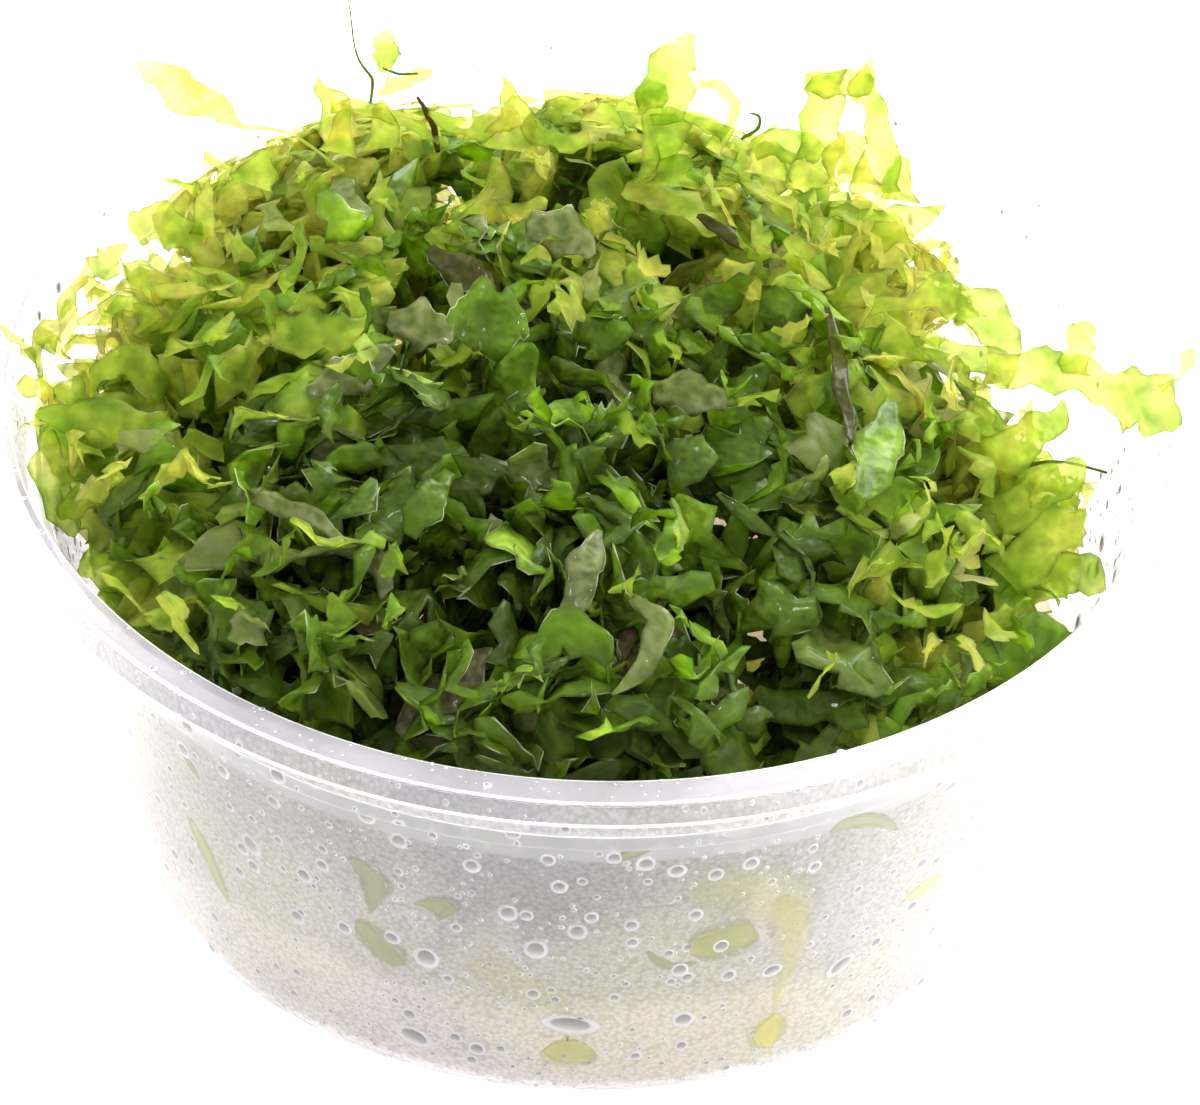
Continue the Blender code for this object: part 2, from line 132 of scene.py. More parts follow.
def vector_calc(tree, operation, *values):
    """A vector worked out from the values."""
    return add_node(tree, "ShaderNodeVectorMath", dict(enumerate(values)), operation=operation)


def scaled(tree, vector, scale):
    """A vector or colour times a number."""
    return add_node(tree, "ShaderNodeVectorMath", {0: vector, "Scale": scale}, operation="SCALE")


def ranged(tree, value, low, high, to_low=0.0, to_high=1.0):
    """A value's place between low and high, on another range and kept inside it."""
    inputs = {"Value": value, "From Min": low, "From Max": high, "To Min": to_low, "To Max": to_high}
    return add_node(tree, "ShaderNodeMapRange", inputs)


def mixed_colour(tree, share, first, second):
    """The first colour with a share of the second, as its output."""
    return add_node(tree, "ShaderNodeMix", {"Factor": share, "A": first, "B": second}, data_type="RGBA")


def mixed_shader(tree, share, first, second):
    """The first surface with a share of the second."""
    return add_node(tree, "ShaderNodeMixShader", {0: share, 1: first, 2: second})


def noise(tree, place, scale, detail):
    """Soft random patches at a place."""
    return add_node(tree, "ShaderNodeTexNoise", {"Vector": place, "Scale": scale, "Detail": detail})


def stored(tree, name):
    """A value that the mesh brings along."""
    return add_node(tree, "ShaderNodeAttribute", attribute_name=name)


def glossy(tree, colour, roughness, bending, through=0.0):
    """A surface with a gloss on it, by its index of refraction, that may let light through."""
    inputs = {"Base Color": colour, "Roughness": roughness, "IOR": bending, "Transmission Weight": through}
    return add_node(tree, "ShaderNodeBsdfPrincipled", inputs)


def let_through(tree, colour):
    """Light that comes through a thin layer and scatters."""
    return add_node(tree, "ShaderNodeBsdfTranslucent", {"Color": colour})


def draw_number(tree, low, high, seed, kind="FLOAT"):
    """A random value for each point."""
    inputs = {"Min": low, "Max": high, "Seed": seed}
    return add_node(tree, "FunctionNodeRandomValue", inputs, data_type=kind)


def store(tree, geometry, name, value, domain):
    """The geometry with a value stored on it under a name."""
    inputs = {"Geometry": geometry, "Name": name, "Value": value}
    return add_node(tree, "GeometryNodeStoreNamedAttribute", inputs, data_type="FLOAT", domain=domain)


def recall(tree, name):
    """The value that store() keeps under the name."""
    return add_node(tree, "GeometryNodeInputNamedAttribute", {"Name": name}, data_type="FLOAT")


def new_material(name):
    """A material with an empty node tree and its output."""
    material = bpy.data.materials.new(name)
    material.use_nodes = True
    material.node_tree.nodes.clear()
    return material, material.node_tree


def finish_material(tree, surface):
    add_node(tree, "ShaderNodeOutputMaterial", {"Surface": surface})


def new_piece(name, mesh):
    piece = bpy.data.objects.new(name, mesh)
    scene.collection.objects.link(piece)
    return piece


def mesh_of(bm, name):
    """The finished mesh, with which its work is done."""
    mesh = bpy.data.meshes.new(name)
    bm.to_mesh(mesh)
    bm.free()
    return mesh


def circle(bm, radius, height, sides):
    """A ring of points about Z in millimetres, or one point over and over at the middle."""
    turns = [math.tau * i / sides for i in range(sides if radius else 1)]
    points = [(radius * MM * math.cos(a), radius * MM * math.sin(a), height * MM) for a in turns]
    return [bm.verts.new(point) for point in points] * (sides // len(points))


def skin(bm, rows, closed=False, slots=None):
    """Smooth faces between neighbouring rows of points, each with the material's place of its row."""
    for number, (near, far) in enumerate(zip(rows, rows[1:])):
        for i in range(len(near) if closed else len(near) - 1):
            j = (i + 1) % len(near)
            corners = list(dict.fromkeys((near[i], near[j], far[j], far[i])))
            if len(corners) > 2:
                face = bm.faces.new(corners)
                face.smooth = True
                face.material_index = slots[number] if slots else 0


def add_film(piece):
    """Gives a flat piece the thickness of a frond."""
    film = piece.modifiers.new("film", "SOLIDIFY")
    film.thickness = FILM_THICKNESS * MM
    film.offset = 0.0


def new_rule(name, inputs, output):
    """An empty rule of geometry nodes with its inputs, their first values, and its output."""
    rule = bpy.data.node_groups.new(name, "GeometryNodeTree")
    for label, kind, first_value in inputs:
        item = rule.interface.new_socket(label, in_out="INPUT", socket_type="NodeSocket" + kind)
        if first_value is not None:
            item.default_value = first_value
    rule.interface.new_socket(output, in_out="OUTPUT", socket_type="NodeSocketGeometry")
    return rule


def put_rule(work, rule, values):
    """Puts a rule on a work piece, with values for its inputs."""
    growth = work.modifiers.new("growth", "NODES")
    growth.node_group = rule
    places = {item.name: item.identifier for item in rule.interface.items_tree if item.in_out == "INPUT"}
    for label, value in values.items():
        growth[places[label]] = value


def grown_mesh(work):
    """The mesh that comes out of a work piece, which then goes."""
    bpy.context.view_layer.update()
    mesh = bpy.data.meshes.new_from_object(work.evaluated_get(bpy.context.evaluated_depsgraph_get()))
    bpy.data.objects.remove(work)
    return mesh


# Studio: a white table that glows a little, as a light table does, under an even white sky that is
# brighter behind, with a broad lamp from the back right, one at the side and five small ones for glints.
TABLE_SIZE = 3.0
TABLE_COLOUR = "#fbf9f9"
TABLE_GLOW = 0.8
SKY_IN_FRONT = 0.85
SKY_BEHIND = 1.6
SKY_TURN = 0.6
SKY_REACH = 0.9
CUP_MIDDLE = (0.0, 0.0, 0.03)
MOUND_TOP = (0.0, 0.0, 0.04)
GLINT_SIZE = 0.05
GLINT_POWER = 1.1
table_material, tree = new_material("white light table")
matte = add_node(tree, "ShaderNodeBsdfDiffuse", {"Color": srgb(TABLE_COLOUR)})
glow = add_node(tree, "ShaderNodeEmission", {"Color": srgb(TABLE_COLOUR), "Strength": TABLE_GLOW})
finish_material(tree, add_node(tree, "ShaderNodeAddShader", {0: matte, 1: glow}))
bm = bmesh.new()
bmesh.ops.create_grid(bm, x_segments=1, y_segments=1, size=TABLE_SIZE)
table_mesh = mesh_of(bm, "table")
table_mesh.materials.append(table_material)
table = new_piece("table", table_mesh)

world = bpy.data.worlds.new("white studio")
world.use_nodes = True
tree = world.node_tree
tree.nodes.clear()
sky_place = add_node(tree, "ShaderNodeTexCoord")
sky_parts = add_node(tree, "ShaderNodeSeparateXYZ", {"Vector": (sky_place, "Generated")})
sky_side = calc(tree, "MULTIPLY", (sky_parts, "X"), SKY_TURN)
sky_way = calc(tree, "ADD", (sky_parts, "Y"), sky_side)
sky_light = ranged(tree, sky_way, -SKY_REACH, SKY_REACH, SKY_IN_FRONT, SKY_BEHIND)
sky = add_node(tree, "ShaderNodeBackground", {"Color": srgb("#ffffff"), "Strength": sky_light})
add_node(tree, "ShaderNodeOutputWorld", {"Surface": sky})
scene.world = world


def add_lamp(name, place, aim, size, power):
    """A square soft lamp, placed and aimed in metres."""
    data = bpy.data.lights.new(name, "AREA")
    data.size = size
    data.energy = power
    lamp = bpy.data.objects.new(name, data)
    lamp.location = place
    lamp.rotation_euler = (Vector(aim) - Vector(place)).to_track_quat("-Z", "Y").to_euler()
    scene.collection.objects.link(lamp)


GLINTS = (
    (-0.30, -0.10, 0.55),
    (0.25, -0.20, 0.50),
    (-0.05, 0.25, 0.62),
    (0.10, -0.35, 0.60),
    (-0.28, 0.22, 0.50),
)
add_lamp("back_lamp", place=(0.30, 0.60, 0.45), aim=CUP_MIDDLE, size=0.4, power=13.0)
add_lamp("side_lamp", place=(0.45, -0.05, 0.14), aim=CUP_MIDDLE, size=0.3, power=2.0)
for index, glint_place in enumerate(GLINTS):
    add_lamp(f"glint_lamp_{index}", glint_place, MOUND_TOP, GLINT_SIZE, GLINT_POWER)


# Cup: one moulding of clear polypropylene. The inside of its wall is fogged with condensation,
# and the rounded edges of its rim, skirt, lip and ledge carry a painted white highlight.
# Turned from one profile.
CUP_STEPS = 320
CUP_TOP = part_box("cup")[1].z / MM
SKIRT_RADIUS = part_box("cup")[1].x / MM
SKIRT_DROP = 1.9
RIM_RADIUS = SKIRT_RADIUS - 0.7
RIM_THICKNESS = 0.8
LIP_RADIUS = 47.2
COLLAR_FOOT_RADIUS = 46.2
LEDGE_RADIUS = 44.8
LEDGE_HEIGHT = CUP_TOP - 6.9
INNER_BASE_RADIUS = 39.65
BASE_ROUND = 2.0
WALL = 0.65
FLOOR = 0.9
SHARP_FROM = math.radians(50)
MOULDED_TINT = "#faf8fd"
PLASTIC_IOR = 1.49


def inner_radius(height):
    """Radius of the inside of the wall at a height, in millimetres."""
    if height <= LEDGE_HEIGHT:
        share = (height - FLOOR) / (LEDGE_HEIGHT - FLOOR)
        return INNER_BASE_RADIUS + share * (LEDGE_RADIUS - INNER_BASE_RADIUS)
    share = (height - LEDGE_HEIGHT) / (CUP_TOP - LEDGE_HEIGHT)
    return COLLAR_FOOT_RADIUS + share * (LIP_RADIUS - COLLAR_FOOT_RADIUS)


def arc(centre_r, centre_z, radius, start, end, steps):
    """Points of a round corner of a profile, from one angle to another in degrees."""
    angles = [math.radians(start + (end - start) * i / steps) for i in range(steps + 1)]
    return [(centre_r + radius * math.cos(a), centre_z + radius * math.sin(a)) for a in angles]


def turned(name, stretches, materials, steps):
    """A body turned about Z. Each stretch gives its material's place and its points in millimetres."""
    bm = bmesh.new()
    rings = []
    slots = []
    for slot, points in stretches:
        rings += [circle(bm, radius, height, steps) for radius, height in points]
        slots += [slot] * len(points)
    skin(bm, rings, closed=True, slots=slots[1:])
    bmesh.ops.recalc_face_normals(bm, faces=bm.faces)
    mesh = mesh_of(bm, name)
    for material in materials:
        mesh.materials.append(material)
    mesh.set_sharp_from_angle(angle=SHARP_FROM)
    return mesh


# Clear polypropylene, moulded and glossy: faintly milky, so it never looks like glass.
clear_plastic, tree = new_material("clear_polypropylene_moulded")
clear = glossy(tree, srgb(MOULDED_TINT), 0.08, PLASTIC_IOR, through=1.0)
finish_material(tree, clear)

# The rim's flat top, left a little matt by the mould, and the rounded edges, painted white and milky
# as a highlight that stands for the light they gather.
matt_plastics = []
for plastic_name, milk_and_highlight_share, colour in (
    ("polypropylene_matt_rim", 0.5, "#b9b4bd"),
    ("polypropylene_edge_painted_highlight", 0.6, "#ffffff"),
):
    matt_plastic, tree = new_material(plastic_name)
    milk_and_highlight_back = add_node(tree, "ShaderNodeBsdfDiffuse", {"Color": srgb(colour)})
    milk_and_highlight_through = let_through(tree, srgb(colour))
    milk_and_painted_highlight = mixed_shader(tree, 0.5, milk_and_highlight_back, milk_and_highlight_through)
    clear = glossy(tree, srgb(MOULDED_TINT), 0.12, PLASTIC_IOR, through=1.0)
    finish_material(tree, mixed_shader(tree, milk_and_highlight_share, clear, milk_and_painted_highlight))
    matt_plastics.append(matt_plastic)

# The same plastic with condensation on it: drops too fine to see one by one, which scatter the light.
FOG_GRAIN = 0.42
FOG_CLOUDS = 9
FOG_TINTS = 16
fogged_plastic, tree = new_material("polypropylene_fogged_with_condensation")
place = add_node(tree, "ShaderNodeTexCoord")
grains = add_node(
    tree, "ShaderNodeTexVoronoi", {"Vector": (place, "Object"), "Scale": 1 / (FOG_GRAIN * MM)}
)
clouds = noise(tree, (place, "Object"), 1 / (FOG_CLOUDS * MM), 1.0)
speckle = ranged(tree, (grains, "Distance"), 0.1, 0.75, 0.42, 0.64)
patchy = ranged(tree, (clouds, "Fac"), 0.35, 0.65, -0.06, 0.08)
cover = calc(tree, "ADD", speckle, patchy, use_clamp=True)
tints = noise(tree, (place, "Object"), 1 / (FOG_TINTS * MM), 0.0)
tint = ranged(tree, (tints, "Fac"), 0.35, 0.65)
hollows = mixed_colour(tree, tint, srgb("#a39db2"), srgb("#a5a782"))
mist_colour = mixed_colour(tree, (grains, "Distance"), srgb("#fffdf6"), (hollows, "Result"))
mist_back = add_node(tree, "ShaderNodeBsdfDiffuse", {"Color": (mist_colour, "Result")})
mist_through = let_through(tree, (mist_colour, "Result"))
mist = mixed_shader(tree, 0.5, mist_back, mist_through)
see_through = glossy(tree, srgb("#ffffff"), 0.28, PLASTIC_IOR, through=1.0)
finish_material(tree, mixed_shader(tree, cover, see_through, mist))

corner = BASE_ROUND - WALL
edge = 0.25
under = CUP_TOP - RIM_THICKNESS
skirt_foot = CUP_TOP - SKIRT_DROP
inside = [(0.0, FLOOR), (20.0, FLOOR)]
inside += arc(INNER_BASE_RADIUS - corner, FLOOR + corner, corner, -90, -8, 8)
inside += [(inner_radius(h), h) for h in (8, 14, 20, 26, 32)]
ledge_inside = arc(LEDGE_RADIUS + 0.4, LEDGE_HEIGHT - 0.4, 0.4, 180, 100, 4)
ledge_inside += arc(COLLAR_FOOT_RADIUS - 0.4, LEDGE_HEIGHT + 0.45, 0.4, -80, 0, 4)
collar_inside = [(LIP_RADIUS, CUP_TOP - edge)]
lip = arc(LIP_RADIUS + edge, CUP_TOP - edge, edge, 170, 90, 4)
rim_top = [(RIM_RADIUS - 0.2, CUP_TOP)]
rim_edge = arc(RIM_RADIUS - 0.15, CUP_TOP - 0.15, 0.15, 75, 10, 3)
skirt = [(SKIRT_RADIUS, skirt_foot + 0.2)]
skirt_edge = arc(SKIRT_RADIUS - 0.2, skirt_foot + 0.2, 0.2, -10, -90, 3)
skirt_edge += [(SKIRT_RADIUS - WALL, skirt_foot)]
collar = [
    (RIM_RADIUS - WALL, under),
    (LIP_RADIUS + WALL, under),
    (COLLAR_FOOT_RADIUS + WALL, LEDGE_HEIGHT - 0.3),
]
collar += arc(COLLAR_FOOT_RADIUS + WALL - 0.7, LEDGE_HEIGHT - 0.6, 0.7, -10, -70, 4)
outside = arc(LEDGE_RADIUS + WALL + 0.3, LEDGE_HEIGHT - WALL - 1.0, 0.3, 120, 180, 3)
outside += [(inner_radius(h) + WALL, h) for h in (30, 24, 18, 12, 6)]
outside += arc(INNER_BASE_RADIUS + WALL - BASE_ROUND, BASE_ROUND, BASE_ROUND, -8, -90, 8)
outside += [(20.0, 0.0), (0.0, 0.0)]
# The rounded edges take the plastic with the painted white highlight.
CLEAR, FOGGED, MATT, PAINTED_HIGHLIGHT_EDGE = range(4)
cup_stretches = (
    (FOGGED, inside),
    (PAINTED_HIGHLIGHT_EDGE, ledge_inside),
    (FOGGED, collar_inside),
    (PAINTED_HIGHLIGHT_EDGE, lip),
    (MATT, rim_top),
    (PAINTED_HIGHLIGHT_EDGE, rim_edge),
    (CLEAR, skirt),
    (PAINTED_HIGHLIGHT_EDGE, skirt_edge),
    (CLEAR, collar),
    (CLEAR, outside),
)
cup_mesh = turned("cup_shell", cup_stretches, (clear_plastic, fogged_plastic, *matt_plastics), CUP_STEPS)
cup = new_piece("cup_shell", cup_mesh)
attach(cup, "root")
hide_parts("cup")


# Gel: a cloudy cream nutrient gel, poured in hot and set flat, so its top meets the wall in a small rise.
GEL_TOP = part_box("gel")[1].z / MM
GEL_GAP = 0.3
MENISCUS = 0.6
GEL_CLOUDS = 12
gel_material, tree = new_material("agar_gel_set_cloudy")
place = add_node(tree, "ShaderNodeTexCoord")
clouds = noise(tree, (place, "Object"), 1 / (GEL_CLOUDS * MM), 2.0)
cream = mixed_colour(tree, (clouds, "Fac"), srgb("#f3ead4"), srgb("#fbf5e4"))
gel_back = glossy(tree, (cream, "Result"), 0.15, 1.34)
gel_through = let_through(tree, (cream, "Result"))
finish_material(tree, mixed_shader(tree, 0.55, gel_back, gel_through))
top_radius = inner_radius(GEL_TOP) - GEL_GAP
profile = [(0.0, FLOOR + GEL_GAP), (20.0, FLOOR + GEL_GAP)]
profile += arc(INNER_BASE_RADIUS - corner - GEL_GAP, FLOOR + GEL_GAP + corner, corner, -90, -8, 6)
profile += [(inner_radius(7) - GEL_GAP, 7), (top_radius, GEL_TOP)]
profile += [(top_radius - 0.3, GEL_TOP - 0.35), (top_radius - 1.2, GEL_TOP - MENISCUS)]
profile += [(20.0, GEL_TOP - MENISCUS), (0.0, GEL_TOP - MENISCUS)]
gel = new_piece("gel_layer", turned("gel_layer", [(0, profile)], (gel_material,), 96))
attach(gel, "root")
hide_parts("gel")


# Condensation: drops of water on the inside of the wall, round where they sit and drawn out where they run.
# Big ones stand apart, a painted highlight ring round a painted grey middle; fine ones crowd together in
# patches.
WALL_TOP = CUP_TOP - 0.6
DROP_RINGS = (0.0, 0.4, 0.66, 0.84, 1.0)
DROP_HEIGHT = 0.3


def drop_mesh(name, rings, sides, lowest_ring):
    """A flat dome of water one millimetre in radius, with how near its edge each point is."""
    bm = bmesh.new()
    ring_layer = bm.verts.layers.float.new("ring")
    upper_layer = bm.verts.layers.float.new("upper")
    loops = []
    for share in (*rings, 0.0):
        under = len(loops) == len(rings)
        height = -0.5 * DROP_HEIGHT if under else DROP_HEIGHT * math.sqrt(1 - share * share)
        loop = circle(bm, share, height, sides)
        for vert in loop:
            vert[ring_layer] = lowest_ring + (1 - lowest_ring) * share
            vert[upper_layer] = vert.co.y / MM
        loops.append(loop)
    for inner, outer in zip(loops, loops[1:]):
        for i in range(sides):
            j = (i + 1) % sides
            corners = list(dict.fromkeys((inner[i], outer[i], outer[j], inner[j])))
            if len(corners) > 2:
                bm.faces.new(corners).smooth = True
    bmesh.ops.recalc_face_normals(bm, faces=bm.faces)
    return mesh_of(bm, name)


# Water in drops: where the edge bends the light, a white ring is painted on as a highlight, and the middle
# is painted grey for the cup behind it, darker towards the top as painted shade.
water, tree = new_material("condensed_water_drop_with_painted_light")
ring = stored(tree, "ring")
upper = stored(tree, "upper")
# Painted shade: the middle of a drop is grey, darker towards its top.
DROP_PAINTED_SHADE_TONES = ((0.0, "#f0eee8"), (0.45, "#b4b1ad"), (1.0, "#84817f"))
drop_height = ranged(tree, (upper, "Fac"), -0.6, 0.6)
drop_painted_shade = add_node(tree, "ShaderNodeValToRGB", {"Fac": drop_height}, stops=DROP_PAINTED_SHADE_TONES)
# Painted highlight: the outer ring of a drop is white.
painted_highlight_ring = ranged(tree, (ring, "Fac"), 0.58, 0.7)
drop_painted_light = mixed_colour(tree, painted_highlight_ring, drop_painted_shade, srgb("#ffffff"))
drop_back = glossy(tree, (drop_painted_light, "Result"), 0.06, WATER_IOR)
drop_through = let_through(tree, (drop_painted_light, "Result"))
finish_material(tree, mixed_shader(tree, 0.45, drop_back, drop_through))

DROP_INPUTS = (
    ("Surface", "Geometry", None),
    ("Drop", "Object", None),
    ("Per square metre", "Float", 30000.0),
    ("Apart", "Float", 0.0016),
    ("Smallest", "Float", 0.3),
    ("Largest", "Float", 0.9),
    ("Patch size", "Float", 0.008),
    ("Patch edge", "Float", 0.2),
    ("Share at the back", "Float", 0.05),
    ("Sag", "Float", 1.25),
    ("Seed", "Int", 0),
    ("Material", "Material", None),
)
dewing = new_rule("drops_on_surface", DROP_INPUTS, "Drops")
given = add_node(dewing, "NodeGroupInput")
patch_scale = calc(dewing, "DIVIDE", 1.0, (given, "Patch size"))
patches = add_node(dewing, "ShaderNodeTexNoise", {"Scale": patch_scale, "Detail": 1.0})
cover = ranged(dewing, (patches, "Fac"), (given, "Patch edge"), 0.62)
spot = add_node(dewing, "GeometryNodeInputPosition")
spot_parts = add_node(dewing, "ShaderNodeSeparateXYZ", {0: spot})
to_back = ranged(dewing, (spot_parts, "Y"), -8 * MM, 12 * MM, 1.0, (given, "Share at the back"))
cover = calc(dewing, "MULTIPLY", cover, to_back)
points = add_node(
    dewing,
    "GeometryNodeDistributePointsOnFaces",
    {
        "Mesh": (given, "Surface"),
        "Distance Min": (given, "Apart"),
        "Density Max": (given, "Per square metre"),
        "Density Factor": cover,
        "Seed": (given, "Seed"),
    },
    distribute_method="POISSON",
)
size_draw = draw_number(dewing, 0.0, 1.0, 2)
size_draw = calc(dewing, "POWER", size_draw, 2.2)
size = ranged(dewing, size_draw, 0.0, 1.0, (given, "Smallest"), (given, "Largest"))
drop_object = add_node(dewing, "GeometryNodeObjectInfo", {"Object": (given, "Drop")})
sagging = add_node(dewing, "ShaderNodeCombineXYZ", {"X": 1.0, "Y": (given, "Sag"), "Z": 1.0})
sagging = scaled(dewing, sagging, size)
outward = add_node(
    dewing, "FunctionNodeAlignRotationToVector", {"Vector": (points, "Normal")}, axis="Z"
)
upright = add_node(
    dewing,
    "FunctionNodeAlignRotationToVector",
    {"Rotation": outward, "Vector": (0.0, 0.0, 1.0)},
    axis="Y",
    pivot_axis="Z",
)
drops = add_node(
    dewing,
    "GeometryNodeInstanceOnPoints",
    {"Points": points, "Instance": (drop_object, "Geometry"), "Rotation": upright, "Scale": sagging},
)
real = add_node(dewing, "GeometryNodeRealizeInstances", {"Geometry": drops})
wet = add_node(dewing, "GeometryNodeSetMaterial", {"Geometry": real, "Material": (given, "Material")})
add_node(dewing, "NodeGroupOutput", {"Drops": wet})

wall_heights = (1.6, 6, 12, 18, 24, 30, LEDGE_HEIGHT - 0.4)
wall_points = [(inner_radius(h), h) for h in wall_heights]
collar_points = [(inner_radius(h), h) for h in (LEDGE_HEIGHT + 0.8, CUP_TOP - 3, WALL_TOP)]
rim_points = [(LIP_RADIUS + 0.2, CUP_TOP), (RIM_RADIUS - 0.4, CUP_TOP)]
DEW = (
    # Name, surface, round drop, per square metre, apart, smallest and largest in mm, patch size, patch edge
    ("wall_drops", wall_points, True, 110000, 1.2, 0.32, 0.85, 12, 0.1),
    ("wall_mist", wall_points, False, 1300000, 0.52, 0.16, 0.38, 6, 0.38),
    ("collar_drops", collar_points, True, 90000, 1.1, 0.25, 0.6, 8, 0.2),
    ("collar_mist", collar_points, False, 1300000, 0.4, 0.12, 0.28, 5, 0.3),
    ("rim_drops", rim_points, True, 80000, 1.0, 0.16, 0.32, 6, 0.1),
    ("rim_mist", rim_points, False, 800000, 0.45, 0.08, 0.18, 4, 0.3),
)
round_drop = new_piece("round_drop", drop_mesh("round_drop", DROP_RINGS, 10, 0.0))
fine_drop = new_piece("fine_drop", drop_mesh("fine_drop", (0.0, 0.5, 1.0), 5, 0.4))
for seed, (name, surface, is_round, *numbers) in enumerate(DEW):
    per_area, apart, smallest, largest, patch, patch_edge = numbers
    work = new_piece("work_" + name, turned("work_" + name, [(0, surface)], (), 64))
    for polygon in work.data.polygons:
        outward = polygon.normal.z if surface is rim_points else polygon.normal.dot(polygon.center)
        if outward < 0:
            polygon.flip()
    values = {
        "Drop": round_drop if is_round else fine_drop,
        "Per square metre": float(per_area),
        "Apart": apart * MM,
        "Smallest": smallest,
        "Largest": largest,
        "Patch size": patch * MM,
        "Patch edge": patch_edge,
        "Seed": seed,
        "Material": water,
    }
    put_rule(work, dewing, values)
    dew = new_piece(name, grown_mesh(work))
    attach(dew, "root")

# The drops that stand out: bearing in degrees from +X, height, radius, how much wider than high, tilt.
DROP_SAG = 1.25
DROP_DEPTH = 0.9
BIG_DROPS = (
    (-105.5, 17.0, 1.15, 1.0, 0),
    (-121.0, 16.3, 0.8, 1.0, 0),
    (-125.9, 22.9, 1.1, 0.8, 30),
    (-128.6, 18.1, 0.6, 1.0, 0),
    (-107.6, 5.8, 1.0, 1.8, -20),
    (-89.8, 10.7, 1.0, 2.6, -8),
    (-93.7, 20.4, 1.05, 1.0, 0),
    (-96.6, 24.7, 0.85, 1.0, 0),
    (-89.5, 23.0, 0.85, 1.0, 0),
    (-59.1, 12.8, 0.8, 2.0, 40),
    (-67.9, 15.2, 0.65, 1.6, 15),
    (-100.2, 30.1, 0.75, 1.0, 0),
    (-107.6, 31.3, 0.8, 1.0, 0),
    (-77.4, 10.7, 0.85, 1.2, 0),
    (-79.9, 30.5, 0.7, 1.2, 0),
    (-128.2, 30.7, 0.75, 1.0, 0),
)
bm = bmesh.new()
for bearing, height, radius, wider, tilt in BIG_DROPS:
    turn = math.radians(bearing)
    outward = Vector((math.cos(turn), math.sin(turn), 0.0))
    place = outward * inner_radius(height) + Vector((0.0, 0.0, height))
    frame_on_wall = Matrix.Translation(place * MM) @ outward.to_track_quat("Z", "Y").to_matrix().to_4x4()
    spin = Matrix.Rotation(math.radians(tilt), 4, "Z")
    stretch = Matrix.Diagonal((radius * wider, radius * DROP_SAG, min(radius, DROP_DEPTH), 1.0))
    before = len(bm.verts)
    bm.from_mesh(round_drop.data)
    bm.verts.ensure_lookup_table()
    bmesh.ops.transform(bm, matrix=frame_on_wall @ spin @ stretch, verts=bm.verts[before:])
big_mesh = mesh_of(bm, "big_drops")
big_mesh.materials.append(water)
big_drops = new_piece("big_drops", big_mesh)
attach(big_drops, "root")
bpy.data.objects.remove(round_drop)
bpy.data.objects.remove(fine_drop)
